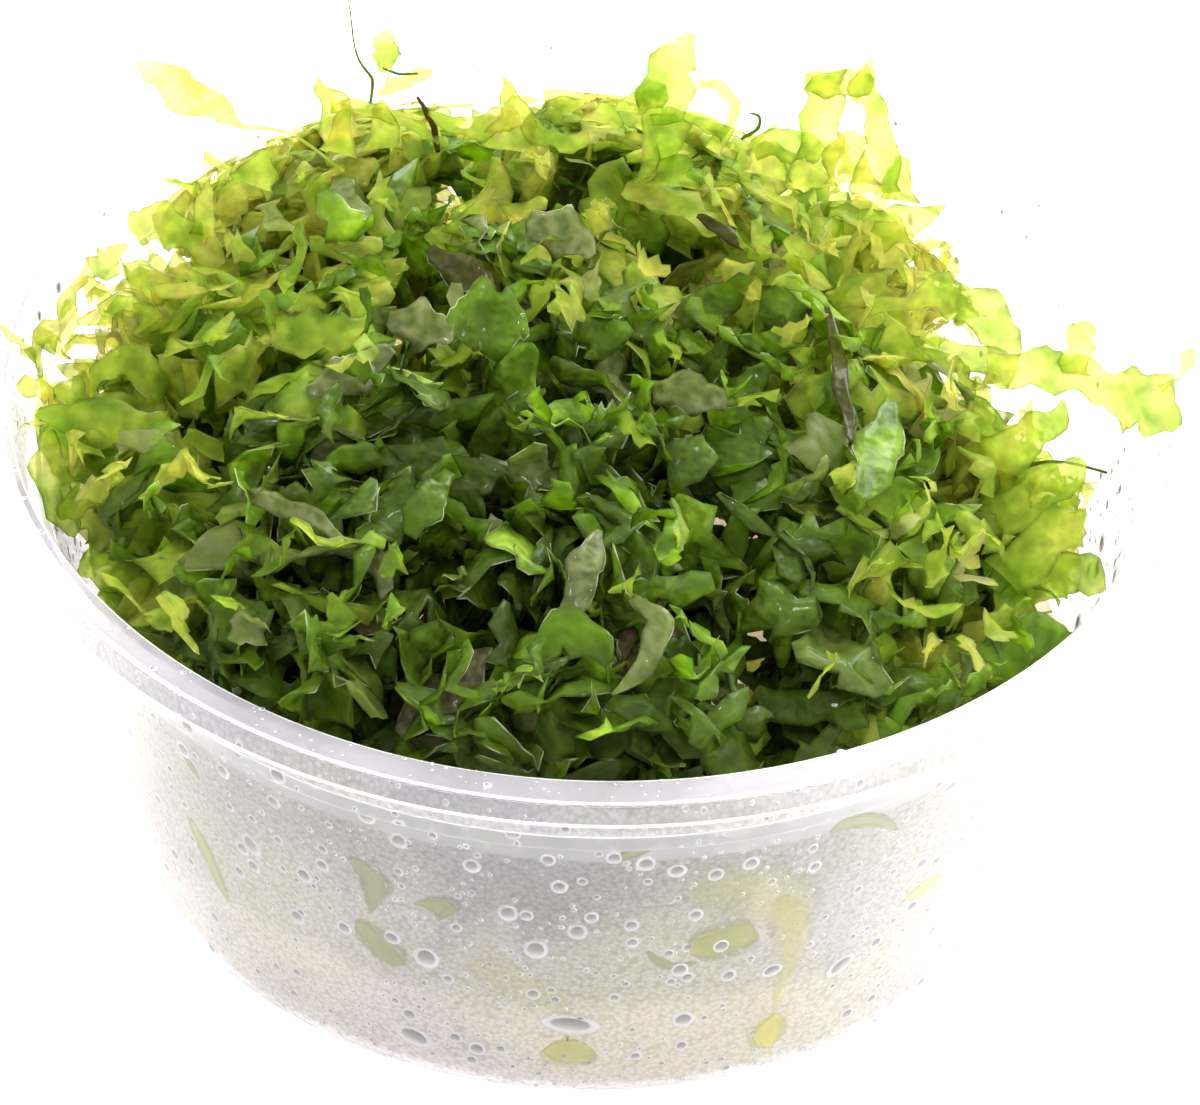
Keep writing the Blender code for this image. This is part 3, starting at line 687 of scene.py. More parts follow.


# Wall fronds and gel fronds: single small fronds that the water holds flat to the wall. They lie just within
# the wall, in front of its fogged face, so the fog's milky light over them is painted into their pale
# colours.
# Each is a thin leaf that follows the wall and is set down by its stations along it.
LEAF_COLUMNS = 4
LEAF_STEPS = 4
LEAF_SUNK = 0.06
LEAF_SPREAD = 1.25
LEAF_TIP = 0.5
WALL_FRONDS = (
    # Name, tone, clearness, then stations: bearing in degrees, height, and the reach up and down in mm
    ("wall_frond_1", 0.3, 0.25, ((-113.4, 27.4, 0.2, 0.3), (-111.7, 26.2, 1.1, 0.9),
        (-110.9, 24.8, 1.4, 1), (-111.2, 22.8, 0.8, 0.6), (-111.6, 20.7, 0.1, 0.1))),
    ("wall_frond_2", 0.3, 0.25, ((-106.6, 23.6, 0.1, 0.1), (-105, 24, 0.7, 0.8), (-103.6, 24, 1.4, 1.3),
        (-102.8, 23.7, 1.5, 1.6), (-102.3, 23.4, 0.7, 1.2))),
    ("wall_frond_3", 0.3, 0.25, ((-113.6, 18.6, 0.6, 0.6), (-112.6, 18.4, 1.3, 1.3),
        (-111, 17.2, 1.5, 1.5), (-109.6, 15.8, 1.4, 1.4), (-108.7, 14.8, 0.6, 0.8))),
    ("wall_frond_4", 0.3, 0.25, ((-134.5, 29.4, 0.1, 0.1), (-133.3, 28.4, 0.5, 0.5),
        (-132.3, 27.3, 0.1, 0.1))),
    ("wall_frond_5", 0.75, 0.25, ((-135.6, 20.8, 0.4, 0.4), (-134.4, 18.6, 0.9, 0.9),
        (-133.2, 16.2, 0.9, 0.9), (-132.2, 14, 0.6, 0.6), (-131.6, 12.4, 0.1, 0.1))),
    ("wall_frond_6", 0.55, 0.2, ((-77.7, 20, 0.8, 0.7), (-76.6, 20.2, 1.9, 1.6), (-74.5, 20.4, 2.2, 2),
        (-72.2, 20.9, 2.1, 2), (-70.6, 21.4, 1.3, 1.2))),
    ("wall_frond_7", 0.3, 0.25, ((-82.2, 20.4, 0.1, 0.1), (-81.2, 19.2, 0.4, 0.4),
        (-79.6, 18.2, 0.45, 0.45), (-78, 18, 0.4, 0.4), (-76.6, 18.3, 0.1, 0.1))),
    ("wall_frond_8", 0.3, 0.25, ((-86.4, 32.1, 0.1, 0.1), (-85, 32.9, 0.5, 0.6),
        (-83.6, 33.5, 0.5, 0.5), (-82.2, 34, 0.1, 0.1))),
    ("wall_frond_9", 0.3, 0.25, ((-64.4, 31.7, 0.2, 0.2), (-62.6, 32.2, 0.9, 0.7),
        (-60.4, 31.9, 0.9, 0.8), (-58, 30.6, 0.6, 0.5), (-55.6, 28.6, 0.1, 0.1))),
    ("wall_frond_10", 0.3, 0.25, ((-26.4, 28.4, 0.1, 0.1), (-27.9, 27, 0.7, 0.7),
        (-29.6, 25.4, 0.7, 0.7), (-31.2, 23.6, 0.1, 0.1))),
    ("wall_frond_11", 0.3, 0.25, ((-36, 17.6, 0.2, 0.2), (-37.2, 16.9, 0.9, 0.9),
        (-38.6, 15.8, 0.8, 0.8), (-39.8, 14.8, 0.1, 0.1))),
    ("wall_frond_12", 0.9, 0.5, ((-52.2, 17.9, 0.1, 0.1), (-50.4, 18.2, 0.9, 0.9), (-48.4, 18.4, 1, 1),
        (-46.4, 18.8, 0.1, 0.1))),
    ("gel_frond_1", 1, 0.3, ((-66.2, 8.9, 0.2, 0.2), (-66.5, 8.2, 0.9, 0.9), (-66.9, 6.8, 1.5, 1.5),
        (-66.7, 5.2, 1.2, 1.2), (-66.4, 4.2, 0.2, 0.2))),
    ("gel_frond_2", 0.85, 0.3, ((-92.4, 7.4, 0.8, 0.8), (-91.4, 7, 1.8, 1.7), (-89.8, 6.8, 1.9, 1.8),
        (-88.4, 7.2, 1.7, 1.8), (-87.5, 7.6, 0.7, 0.9))),
    ("hanging_frond", 0.92, 0.76, ((-68.6, 25.2, 0.3, 0.3), (-67.6, 23, 1.3, 1.4),
        (-66.4, 20, 1.7, 1.6), (-65.8, 16.5, 1.2, 1.2), (-66.4, 13, 0.6, 0.6),
        (-66.6, 10.4, 0.35, 0.35), (-66.7, 8.4, 0.2, 0.2))),
    ("faint_frond_1", 1, 0.87, ((-78.6, 27.2, 0.6, 0.6), (-76.4, 27.4, 2.2, 2.4), (-72.8, 27, 2.8, 3.2),
        (-69.4, 25.4, 2.6, 3.4), (-66.6, 22.6, 2.2, 2.4), (-65.2, 19.6, 0.5, 0.5))),
    ("faint_frond_2", 0.9, 0.9, ((-101.5, 17.5, 0.5, 0.5), (-98.6, 16.8, 1.8, 1.8),
        (-95.2, 15, 2.2, 2.2), (-91.8, 13.6, 1.6, 1.6), (-89.8, 13, 0.4, 0.4))),
)


def smooth_between(stations, share):
    """A point between the two middle ones of four stations, on a smooth curve through all."""
    return [
        0.5
        * (
            2 * s
            + (e - b) * share
            + (2 * b - 5 * s + 4 * e - a) * share**2
            + (3 * s - b - 3 * e + a) * share**3
        )
        for b, s, e, a in zip(*stations)
    ]


def smooth_line(stations, steps):
    """The stations with smooth steps between them."""
    padded = [stations[0], *stations, stations[-1]]
    fours = [padded[i : i + 4] for i in range(len(stations) - 1)]
    return [*(smooth_between(four, step / steps) for four in fours for step in range(steps)), stations[-1]]


def wall_leaf(name, tone, clearness, stations):
    """A thin leaf against the inside of the wall."""
    line = smooth_line(stations, LEAF_STEPS)
    bm = bmesh.new()
    across_layer = bm.verts.layers.float.new("across")
    tone_layer = bm.verts.layers.float.new("tone")
    clear_layer = bm.verts.layers.float.new("clear")
    rows = []
    for index, (bearing, height, upper, lower) in enumerate(line):
        before, after = line[max(index - 1, 0)], line[min(index + 1, len(line) - 1)]
        run = math.radians(after[0] - before[0]) * inner_radius(height)
        rise = after[1] - before[1]
        length = math.hypot(run, rise)
        tip = 1 - min(index, len(line) - 1 - index) / (LEAF_STEPS * LEAF_TIP)
        row = []
        for column in range(LEAF_COLUMNS + 1):
            across = 2 * column / LEAF_COLUMNS - 1
            off = LEAF_SPREAD * across * (upper if across > 0 else lower)
            own_height = height + off * run / length
            own_bearing = math.radians(bearing) - off * rise / length / inner_radius(height)
            radius = inner_radius(own_height) + LEAF_SUNK
            place = (radius * math.cos(own_bearing), radius * math.sin(own_bearing), own_height)
            vert = bm.verts.new([part * MM for part in place])
            vert[across_layer] = max(abs(across), tip)
            vert[tone_layer] = tone
            vert[clear_layer] = clearness
            row.append(vert)
        rows.append(row)
    for near, far in zip(rows, rows[1:]):
        for i in range(LEAF_COLUMNS):
            bm.faces.new((near[i], far[i], far[i + 1], near[i + 1])).smooth = True
    return mesh_of(bm, name)


# Thallus pressed to the wall: the same film, wet through, painted pale for the fog's haze over it,
# with painted shade darkening the margin, where a real one curls away.
pressed_thallus, tree = new_material("pressed_thallus_film")
tone = stored(tree, "tone")
across = stored(tree, "across")
PRESSED_TONES_PAINTED_HAZE = ((0.0, "#9aa266"), (0.3, "#bac286"), (0.55, "#c6c870"), (0.8, "#d4d87c"), (1.0, "#efe878"))
pressed_colour = add_node(tree, "ShaderNodeValToRGB", {"Fac": (tone, "Fac")}, stops=PRESSED_TONES_PAINTED_HAZE)
# Painted shade: the margin is darker.
painted_margin_shade = ranged(tree, (across, "Fac"), 0.4, 0.9, 1.0, 0.82)
pressed_colour = scaled(tree, pressed_colour, painted_margin_shade)
pressed_back = glossy(tree, pressed_colour, 0.3, LEAF_IOR)
pressed_through = let_through(tree, pressed_colour)
pressed_film = mixed_shader(tree, 0.5, pressed_back, pressed_through)
clear_share = stored(tree, "clear")
soft_edge = ranged(tree, (across, "Fac"), 0.3, 1.0, (clear_share, "Fac"), 0.98)
pressed_clear = add_node(tree, "ShaderNodeBsdfTransparent", {"Color": srgb("#ffffff")})
finish_material(tree, mixed_shader(tree, soft_edge, pressed_film, pressed_clear))
for name, tone_value, clear_value, stations in WALL_FRONDS:
    leaf_mesh = wall_leaf(name, tone_value, clear_value, stations)
    leaf_mesh.materials.append(pressed_thallus)
    leaf = new_piece("leaf_" + name, leaf_mesh)
    add_film(leaf)
    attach(leaf, "root")
    if name in frame["nodes"]:
        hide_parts(name)


# Stem: a thin brown stem that lies against the wall at the left.
STEM_LINE = ((-145.2, 20.0), (-144.4, 18.2), (-144.0, 16.5), (-143.2, 15.0), (-142.6, 13.8))
STEM_RADIUS = 0.2
STEM_SIDES = 8
STEM_SUNK = 0.45
stem_material, tree = new_material("thin_brown_stem")
finish_material(tree, glossy(tree, srgb("#5a5236"), 0.4, LEAF_IOR))
bm = bmesh.new()
loops = []
line = smooth_line([(*station, 0.0, 0.0) for station in STEM_LINE], 3)
for index, (bearing, height, *_) in enumerate(line):
    thick = STEM_RADIUS * math.sin(math.pi * (0.12 + 0.76 * index / (len(line) - 1)))
    turn = math.radians(bearing)
    outward = Vector((math.cos(turn), math.sin(turn), 0.0))
    sideways = Vector((-math.sin(turn), math.cos(turn), 0.0))
    middle = outward * (inner_radius(height) - STEM_SUNK) + Vector((0.0, 0.0, height))
    turns = [math.tau * i / STEM_SIDES for i in range(STEM_SIDES)]
    spokes = [(outward * math.cos(a) + sideways * math.sin(a)) * thick for a in turns]
    loops.append([bm.verts.new((middle + spoke) * MM) for spoke in spokes])
skin(bm, loops, closed=True)
for loop in (loops[0], loops[-1]):
    bm.faces.new(loop)
bmesh.ops.recalc_face_normals(bm, faces=bm.faces)
stem_mesh = mesh_of(bm, "thin_stem")
stem_mesh.materials.append(stem_material)
stem = new_piece("thin_stem", stem_mesh)
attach(stem, "root")
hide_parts("wall_stem")


# Tufts: nine tangles of ribbon thalli, each frond only a cell or a few thick, wet, limp and see-through.
# Each tangle is many copies of a few bent and lobed fronds, spread over the tuft and pressed back
# inside the cup.
FROND_ROWS = 7
FROND_COLUMNS = 3
FROND_SHAPES = 24
RUFFLE = 0.22
JITTER = 0.12
SWAY = 0.9


def lobed_side(draw):
    """Half widths along one side of a frond, as shares: one to three lobes with notches and points."""
    lobes = draw.choice((1, 2, 3, 3))
    shift = draw.uniform(0.0, 1.0)
    depth = draw.uniform(0.25, 0.75)
    shares = []
    for row in range(FROND_ROWS + 1):
        along = row / FROND_ROWS
        wave = 0.5 + 0.5 * math.cos(math.tau * (along * lobes + shift))
        body = math.sin(math.pi * (0.12 + 0.8 * along)) ** 0.5
        point = draw.choice((1.0, 1.0, 1.0, 1.2, 0.85))
        shares.append(body * (1 - depth * wave) * draw.uniform(0.82, 1.18) * point)
    shares[0] *= 0.5
    shares[-1] *= draw.uniform(0.3, 0.9)
    return shares


def frond_mesh(name, draw, length, width, bend, twist, cup_across):
    """A limp ribbon along +Y in millimetres, with lobed sides, curled and twisted along its length."""
    left = lobed_side(draw)
    right = lobed_side(draw)
    bm = bmesh.new()
    across_layer = bm.verts.layers.float.new("across")
    step = length / FROND_ROWS
    middle = Vector((0.0, -length / 2, 0.0))
    pitch = -bend / 2
    sway = draw.uniform(-SWAY, SWAY)
    yaw = -sway / 2
    roll = -twist / 2
    fold_row = draw.randrange(2, FROND_ROWS - 1)
    fold = draw.choice((0.0, 0.0, 0.9, -0.9, 1.5))
    rows = []
    for row in range(FROND_ROWS + 1):
        ahead = Vector((math.sin(yaw) * math.cos(pitch), math.cos(yaw) * math.cos(pitch), math.sin(pitch)))
        flat_side = Vector((math.cos(yaw), -math.sin(yaw), 0.0))
        normal = flat_side.cross(ahead)
        side = flat_side * math.cos(roll) + normal * math.sin(roll)
        lift = side.cross(ahead)
        line = []
        for column in range(FROND_COLUMNS + 1):
            across = 2 * column / FROND_COLUMNS - 1
            half = (left[row] if across < 0 else right[row]) * width / 2
            ruffle = RUFFLE * math.sin(2.1 * row + 1.5 * across) * across * across
            rise = cup_across * abs(across) ** 1.5 + ruffle
            vert = bm.verts.new((middle + side * across * half + lift * rise * half) * MM)
            vert[across_layer] = abs(across)
            line.append(vert)
        rows.append(line)
        middle = middle + ahead * step
        pitch += bend / FROND_ROWS + (fold if row == fold_row else draw.uniform(-JITTER, JITTER))
        yaw += sway / FROND_ROWS + draw.uniform(-0.1, 0.1)
        roll += twist / FROND_ROWS + draw.uniform(-JITTER, JITTER)
    skin(bm, rows)
    return mesh_of(bm, name)


draw = random.Random(41)
shapes = bpy.data.collections.new("frond_shapes")
scene.collection.children.link(shapes)
for index in range(FROND_SHAPES):
    broad = index % 3 != 0
    shape_mesh = frond_mesh(
        f"frond_{index}",
        draw,
        draw.uniform(6.5, 11) if broad else draw.uniform(9, 15),
        draw.uniform(5.0, 8.0) if broad else draw.uniform(2.6, 4.4),
        draw.uniform(-1.2, 1.2),
        draw.uniform(-0.6, 0.6) if broad else draw.uniform(-1.6, 1.6),
        draw.uniform(-0.45, 0.45),
    )
    shapes.objects.link(bpy.data.objects.new(f"frond_{index:02}", shape_mesh))

# Wet thallus: a film of living cells. Light that comes through it turns yellow green,
# light that comes back is a deeper green, and the water on it shines. Each frond's margin is darkened
# as painted shade, and in patches its very edge is painted pale as a glint.
# A frond's tone picks its colours; in the tangles it also carries painted light.
TONE_PLACES = (0.0, 0.04, 0.45, 0.62, 0.82, 1.0)
BACK_TONES = tuple(zip(TONE_PLACES, ("#4c3a1c", "#3e501a", "#526a1a", "#6c8c24", "#98b43a", "#b2bc4a")))
SCATTER_TONES = tuple(zip(TONE_PLACES, ("#7c5c28", "#8ea63e", "#9eb844", "#a4c23e", "#bed24e", "#d6d468")))
CLEAR_TONES = tuple(zip(TONE_PLACES, ("#5b3712", "#8aa84a", "#a4c454", "#b6d05e", "#dcde88", "#ece29a")))
RIPPLE_SIZE = 1.1
BLOTCH_SIZE = 3.5
FADED_COLOURS = ("#7e805a", "#b4b484", "#d4d4b4")
THALLI = (
    # Name, share of clear film, share of the light that comes through
    ("wet_thallus_dense", 0.0, 0.55),
    ("wet_thallus_thin", 0.46, 0.46),
)
thalli = []
for thallus_name, clearness, through in THALLI:
    thallus, tree = new_material(thallus_name)
    tone = stored(tree, "tone")
    faded = stored(tree, "faded")
    place = add_node(tree, "ShaderNodeTexCoord")
    ripples = noise(tree, (place, "Object"), 1 / (RIPPLE_SIZE * MM), 1.0)
    blotches = noise(tree, (place, "Object"), 1 / (BLOTCH_SIZE * MM), 1.0)
    blotch_gain = ranged(tree, (blotches, "Fac"), 0.3, 0.7, 0.7, 1.2)
    own_tone = calc(tree, "MULTIPLY", (tone, "Fac"), blotch_gain, use_clamp=True)
    tones = [
        add_node(tree, "ShaderNodeValToRGB", {"Fac": own_tone}, stops=stops)
        for stops in (BACK_TONES, SCATTER_TONES, CLEAR_TONES)
    ]
    across = stored(tree, "across")
    # Painted shade: the margin of each frond is darker.
    painted_margin_shade = ranged(tree, (across, "Fac"), 0.8, 1.0, 1.0, 0.62)
    is_faded = ranged(tree, (faded, "Fac"), 0.91, 0.97, 0.0, 0.8)
    worn = ranged(tree, (ripples, "Fac"), 0.35, 0.6, 0.45, 1.0)
    is_faded = calc(tree, "MULTIPLY", is_faded, worn)
    shade = ranged(tree, (ripples, "Fac"), 0.3, 0.7, 0.76, 1.12)
    shade = calc(tree, "MULTIPLY", shade, painted_margin_shade)
    # Painted highlight: in patches the very edge of a frond is painted pale, for the glint of water on it.
    painted_glint_patch = ranged(tree, (blotches, "Fac"), 0.56, 0.64, 0.0, 0.7)
    at_edge = ranged(tree, (across, "Fac"), 0.92, 0.98)
    painted_edge_glint = calc(tree, "MULTIPLY", painted_glint_patch, at_edge)
    film_colours = []
    for colour, faded_colour in zip(tones, FADED_COLOURS):
        blend = mixed_colour(tree, is_faded, colour, srgb(faded_colour))
        film_colours.append(scaled(tree, (blend, "Result"), shade))
    colour_with_painted_glint = mixed_colour(tree, painted_edge_glint, film_colours[0], srgb("#d4dcb0"))
    bump = add_node(
        tree, "ShaderNodeBump", {"Height": (ripples, "Fac"), "Strength": 0.9, "Distance": 0.5 * MM}
    )
    back_values = {"Base Color": (colour_with_painted_glint, "Result"), "Roughness": 0.45, "IOR": LEAF_IOR}
    back_values["Specular IOR Level"] = 0.2
    if not clearness:
        back_values |= {"Coat Weight": 0.24, "Coat Roughness": 0.05, "Coat IOR": WATER_IOR, "Normal": bump}
    back = add_node(tree, "ShaderNodeBsdfPrincipled", back_values)
    scattered = let_through(tree, film_colours[1])
    surface = mixed_shader(tree, through, back, scattered)
    if clearness:
        straight = add_node(tree, "ShaderNodeBsdfTransparent", {"Color": film_colours[2]})
        surface = mixed_shader(tree, clearness, surface, straight)
        # The film counts once, where light goes into it, so its far side lets light out unchanged
        faces = add_node(tree, "ShaderNodeNewGeometry")
        far_side = add_node(tree, "ShaderNodeBsdfTransparent", {"Color": srgb("#ffffff")})
        surface = mixed_shader(tree, (faces, "Backfacing"), surface, far_side)
    finish_material(tree, surface)
    thalli.append(thallus)

# The tangle's rule: points on the tuft, some drawn in towards its heart, each with a frond at its slant.
# Each frond is then crumpled, and what would pass the wall, the gel or the mound's top lies against it.
SHOWS_FROM, SHOWS_TO = 0.1, 0.5
HIDDEN_SHARE = 0.1
DOME_POWER = 2.4
OFF_LUMP_FROM = 1.13
LONG_FROND_BACK = 20
FRONT_EDGE, BACK_EDGE = -14, 14
DEPTH_POWER = 1.5
FREE_SMALLER = -0.45
# Painted light: how much higher the tone, and so lighter and yellower, for fronds off the lump, at the back
# and at the sides.
FREE_PAINTED_LIGHT = 0.2
DARK_TONES = 0.68
BACK_PAINTED_LIGHT = 0.54
SIDE_PAINTED_LIGHT = 0.46
SIDE_FROM, SIDE_TO = 14, 38
MIDDLE_OFFSET = 3
FOLD_SIZE = 7
CREASE_SIZE = 3.0
CREASE_DEPTH = 2.1
LOWER_AT_BACK = -0.02
LEAST_GAP, MOST_GAP = 0.4, 2.0
ABOVE_GEL = 0.3
WALL_LINE = (
    # The lowest and highest height of a stretch, and how much wider the room for the fronds gets along it
    (FLOOR, LEDGE_HEIGHT, LEDGE_RADIUS - INNER_BASE_RADIUS),
    (LEDGE_HEIGHT, LEDGE_HEIGHT + 1.0, COLLAR_FOOT_RADIUS - LEDGE_RADIUS),
    (LEDGE_HEIGHT + 1.0, CUP_TOP, LIP_RADIUS - COLLAR_FOOT_RADIUS),
    (CUP_TOP + 0.4, CUP_TOP + 3.0, 4.0),
)
TANGLE_INPUTS = (
    ("Tuft", "Geometry", None),
    ("Shapes", "Collection", None),
    ("Long fronds", "Object", None),
    ("Per square metre", "Float", 168000.0),
    ("Heart", "Vector", (0.0, 0.0, 0.03)),
    ("Depth", "Float", 0.7),
    ("Slant", "Float", 0.9),
    ("Smallest", "Float", 0.6),
    ("Largest", "Float", 1.02),
    ("Crumple", "Float", 0.006),
    ("Share on long fronds", "Float", 0.2),
    ("Rise at the back", "Float", 0.001),
    ("Mound middle", "Vector", (-0.0055, -0.009, 0.027)),
    ("Mound half sizes", "Vector", (0.039, 0.047, 0.0255)),
    ("Stands proud", "Float", 0.2),
    ("Seed", "Int", 0),
    ("Thin above tone", "Float", 0.68),
    ("Dense material", "Material", None),
    ("Thin material", "Material", None),
)
tangle = new_rule("tangle_of_fronds", TANGLE_INPUTS, "Fronds")
given = add_node(tangle, "NodeGroupInput")
spot = add_node(tangle, "GeometryNodeInputPosition")
face_normal = add_node(tangle, "GeometryNodeInputNormal")
level = vector_calc(tangle, "MULTIPLY", spot, (1.0, 1.0, 0.0))
outward = vector_calc(tangle, "NORMALIZE", level)
facing_out = vector_calc(tangle, "DOT_PRODUCT", face_normal, outward)
normal_parts = add_node(tangle, "ShaderNodeSeparateXYZ", {0: face_normal})
shows = calc(tangle, "MAXIMUM", (facing_out, "Value"), (normal_parts, "Z"))
share = ranged(tangle, shows, SHOWS_FROM, SHOWS_TO, HIDDEN_SHARE, 1.0)
from_middle = vector_calc(tangle, "SUBTRACT", spot, (given, "Mound middle"))
in_mound = vector_calc(tangle, "DIVIDE", from_middle, (given, "Mound half sizes"))
above = add_node(tangle, "ShaderNodeSeparateXYZ", {0: in_mound})
above_belly = calc(tangle, "MAXIMUM", (above, "Z"), 0.0)
flat_part = vector_calc(tangle, "MULTIPLY", in_mound, (1.0, 1.0, 0.0))
flat_out = vector_calc(tangle, "LENGTH", flat_part)
flat_square = calc(tangle, "POWER", (flat_out, "Value"), 2.0)
dome_part = calc(tangle, "POWER", above_belly, DOME_POWER)
dome_part = calc(tangle, "ADD", flat_square, dome_part)
dome_reach = calc(tangle, "SQRT", dome_part)
off_lump = calc(tangle, "GREATER_THAN", dome_reach, OFF_LUMP_FROM)
where = add_node(tangle, "ShaderNodeSeparateXYZ", {0: spot})
in_front = calc(tangle, "LESS_THAN", (where, "Y"), LONG_FROND_BACK * MM)
off_lump = calc(tangle, "MULTIPLY", off_lump, in_front)
back_share = ranged(tangle, (where, "Y"), FRONT_EDGE * MM, BACK_EDGE * MM)
share_off = calc(tangle, "MULTIPLY", (given, "Share on long fronds"), back_share)
for axis, start, end in (("Z", 51, 54), ("X", 24, 28)):
    not_far = ranged(tangle, (where, axis), start * MM, end * MM, 1.0, 0.0)
    share_off = calc(tangle, "MULTIPLY", share_off, not_far)
share = add_node(
    tangle, "ShaderNodeMix", {"Factor": off_lump, "A": share, "B": share_off}, data_type="FLOAT"
)
density = calc(tangle, "MULTIPLY", share, (given, "Per square metre"))
points = add_node(
    tangle,
    "GeometryNodeDistributePointsOnFaces",
    {"Mesh": (given, "Tuft"), "Density": density, "Seed": (given, "Seed")},
)
marked = store(tangle, (points, "Points"), "free", off_lump, "POINT")
free = recall(tangle, "free")
depth = draw_number(tangle, 0.0, 1.0, 3)
deep = calc(tangle, "POWER", depth, DEPTH_POWER)
deep = calc(tangle, "MULTIPLY", deep, (given, "Depth"))
held = calc(tangle, "SUBTRACT", 1.0, free)
deep = calc(tangle, "MULTIPLY", deep, held)
drawn_in = add_node(
    tangle, "ShaderNodeMix", {"Factor": deep, "A": spot, "B": (given, "Heart")}, data_type="VECTOR"
)
rise_draw = draw_number(tangle, 0.0, 1.0, 4)
rise = calc(tangle, "MULTIPLY", rise_draw, back_share)
rise = calc(tangle, "MULTIPLY", rise, (given, "Rise at the back"))
rise = calc(tangle, "MULTIPLY", rise, held)
rise = add_node(tangle, "ShaderNodeCombineXYZ", {"Z": rise})
placed = add_node(
    tangle, "GeometryNodeSetPosition", {"Geometry": marked, "Position": drawn_in, "Offset": rise}
)
stray = draw_number(tangle, (-1.0, -1.0, -1.0), (1.0, 1.0, 1.0), 5, "FLOAT_VECTOR")
stray = scaled(tangle, stray, (given, "Slant"))
slant = vector_calc(tangle, "ADD", (points, "Normal"), stray)
faced = add_node(tangle, "FunctionNodeAlignRotationToVector", {"Vector": slant}, axis="Z")
turn = draw_number(tangle, (0.0, 0.0, 0.0), (0.0, 0.0, math.tau), 7, "FLOAT_VECTOR")
turn = add_node(tangle, "FunctionNodeEulerToRotation", {"Euler": turn})
turned_fronds = add_node(
    tangle, "FunctionNodeRotateRotation", {"Rotation": faced, "Rotate By": turn}, rotation_space="LOCAL"
)
size = draw_number(tangle, (given, "Smallest"), (given, "Largest"), 9)
smaller = calc(tangle, "MULTIPLY_ADD", free, FREE_SMALLER, 1.0)
size = calc(tangle, "MULTIPLY", size, smaller)
pick = draw_number(tangle, 0, FROND_SHAPES - 1, 11, "INT")
fronds = add_node(
    tangle,
    "GeometryNodeCollectionInfo",
    {"Collection": (given, "Shapes"), "Separate Children": True, "Reset Children": True},
)
spread = add_node(
    tangle,
    "GeometryNodeInstanceOnPoints",
    {
        "Points": placed,
        "Instance": fronds,
        "Pick Instance": True,
        "Instance Index": pick,
        "Rotation": turned_fronds,
        "Scale": size,
    },
)
# Each frond's tone is a random draw plus painted light: fronds off the lump, at the back and at the sides
# get a higher tone, lighter and yellower, for the light that comes through them from behind.
tone_draw = draw_number(tangle, 0.0, DARK_TONES, 13)
free_painted_light = calc(tangle, "MULTIPLY", free, FREE_PAINTED_LIGHT)
painted_back_light = calc(tangle, "MULTIPLY_ADD", back_share, BACK_PAINTED_LIGHT, free_painted_light)
off_middle = calc(tangle, "ADD", (where, "X"), MIDDLE_OFFSET * MM)
off_middle = calc(tangle, "ABSOLUTE", off_middle)
painted_side_light = ranged(tangle, off_middle, SIDE_FROM * MM, SIDE_TO * MM, 0.0, SIDE_PAINTED_LIGHT)
painted_light = calc(tangle, "ADD", painted_back_light, painted_side_light)
tone_draw = calc(tangle, "ADD", tone_draw, painted_light, use_clamp=True)
spread = store(tangle, spread, "tone", tone_draw, "INSTANCE")
faded_draw = draw_number(tangle, 0.0, 1.0, 15)
spread = store(tangle, spread, "faded", faded_draw, "INSTANCE")
real = add_node(tangle, "GeometryNodeRealizeInstances", {"Geometry": spread})
folds = add_node(
    tangle,
    "ShaderNodeTexNoise",
    {"Vector": spot, "Scale": 1 / (FOLD_SIZE * MM), "Detail": 2.0, "Roughness": 0.6},
)
fold_way = vector_calc(tangle, "SUBTRACT", (folds, "Color"), (0.5, 0.5, 0.5))
fold_way = scaled(tangle, fold_way, (given, "Crumple"))
creases = add_node(
    tangle,
    "ShaderNodeTexNoise",
    {"Vector": spot, "Scale": 1 / (CREASE_SIZE * MM), "Detail": 1.0, "Roughness": 0.5},
)
crease_way = vector_calc(tangle, "SUBTRACT", (creases, "Color"), (0.5, 0.5, 0.5))
crease_way = scaled(tangle, crease_way, CREASE_DEPTH * MM)
fold_way = vector_calc(tangle, "ADD", fold_way, crease_way)
crumpled = add_node(tangle, "GeometryNodeSetPosition", {"Geometry": real, "Offset": fold_way})
tone_field = recall(tangle, "tone")
own_top = calc(tangle, "MULTIPLY_ADD", tone_field, (given, "Stands proud"), 1.0)
own_top = calc(tangle, "MULTIPLY_ADD", back_share, LOWER_AT_BACK, own_top)
own_top = calc(tangle, "ADD", own_top, free)
dome_fit = calc(tangle, "DIVIDE", own_top, dome_reach)
dome_fit = calc(tangle, "MINIMUM", dome_fit, 1.0)
under_dome = scaled(tangle, from_middle, dome_fit)
under_dome = vector_calc(tangle, "ADD", under_dome, (given, "Mound middle"))
crumpled = add_node(tangle, "GeometryNodeSetPosition", {"Geometry": crumpled, "Position": under_dome})
own_gap = ranged(tangle, tone_field, 0.0, 1.0, LEAST_GAP * MM, MOST_GAP * MM)
spot_parts = add_node(tangle, "ShaderNodeSeparateXYZ", {0: spot})
room = calc(tangle, "SUBTRACT", INNER_BASE_RADIUS * MM, own_gap)
for low, high, gain in WALL_LINE:
    stretch = ranged(tangle, (spot_parts, "Z"), low * MM, high * MM, 0.0, gain * MM)
    room = calc(tangle, "ADD", room, stretch)
reach = vector_calc(tangle, "LENGTH", level)
fit = calc(tangle, "DIVIDE", room, (reach, "Value"))
fit = calc(tangle, "MINIMUM", fit, 1.0)
lowest = calc(tangle, "ADD", own_gap, (GEL_TOP + ABOVE_GEL) * MM)
height = calc(tangle, "MAXIMUM", (spot_parts, "Z"), lowest)
pressed_level = scaled(tangle, level, fit)
upright = add_node(tangle, "ShaderNodeCombineXYZ", {"Z": height})
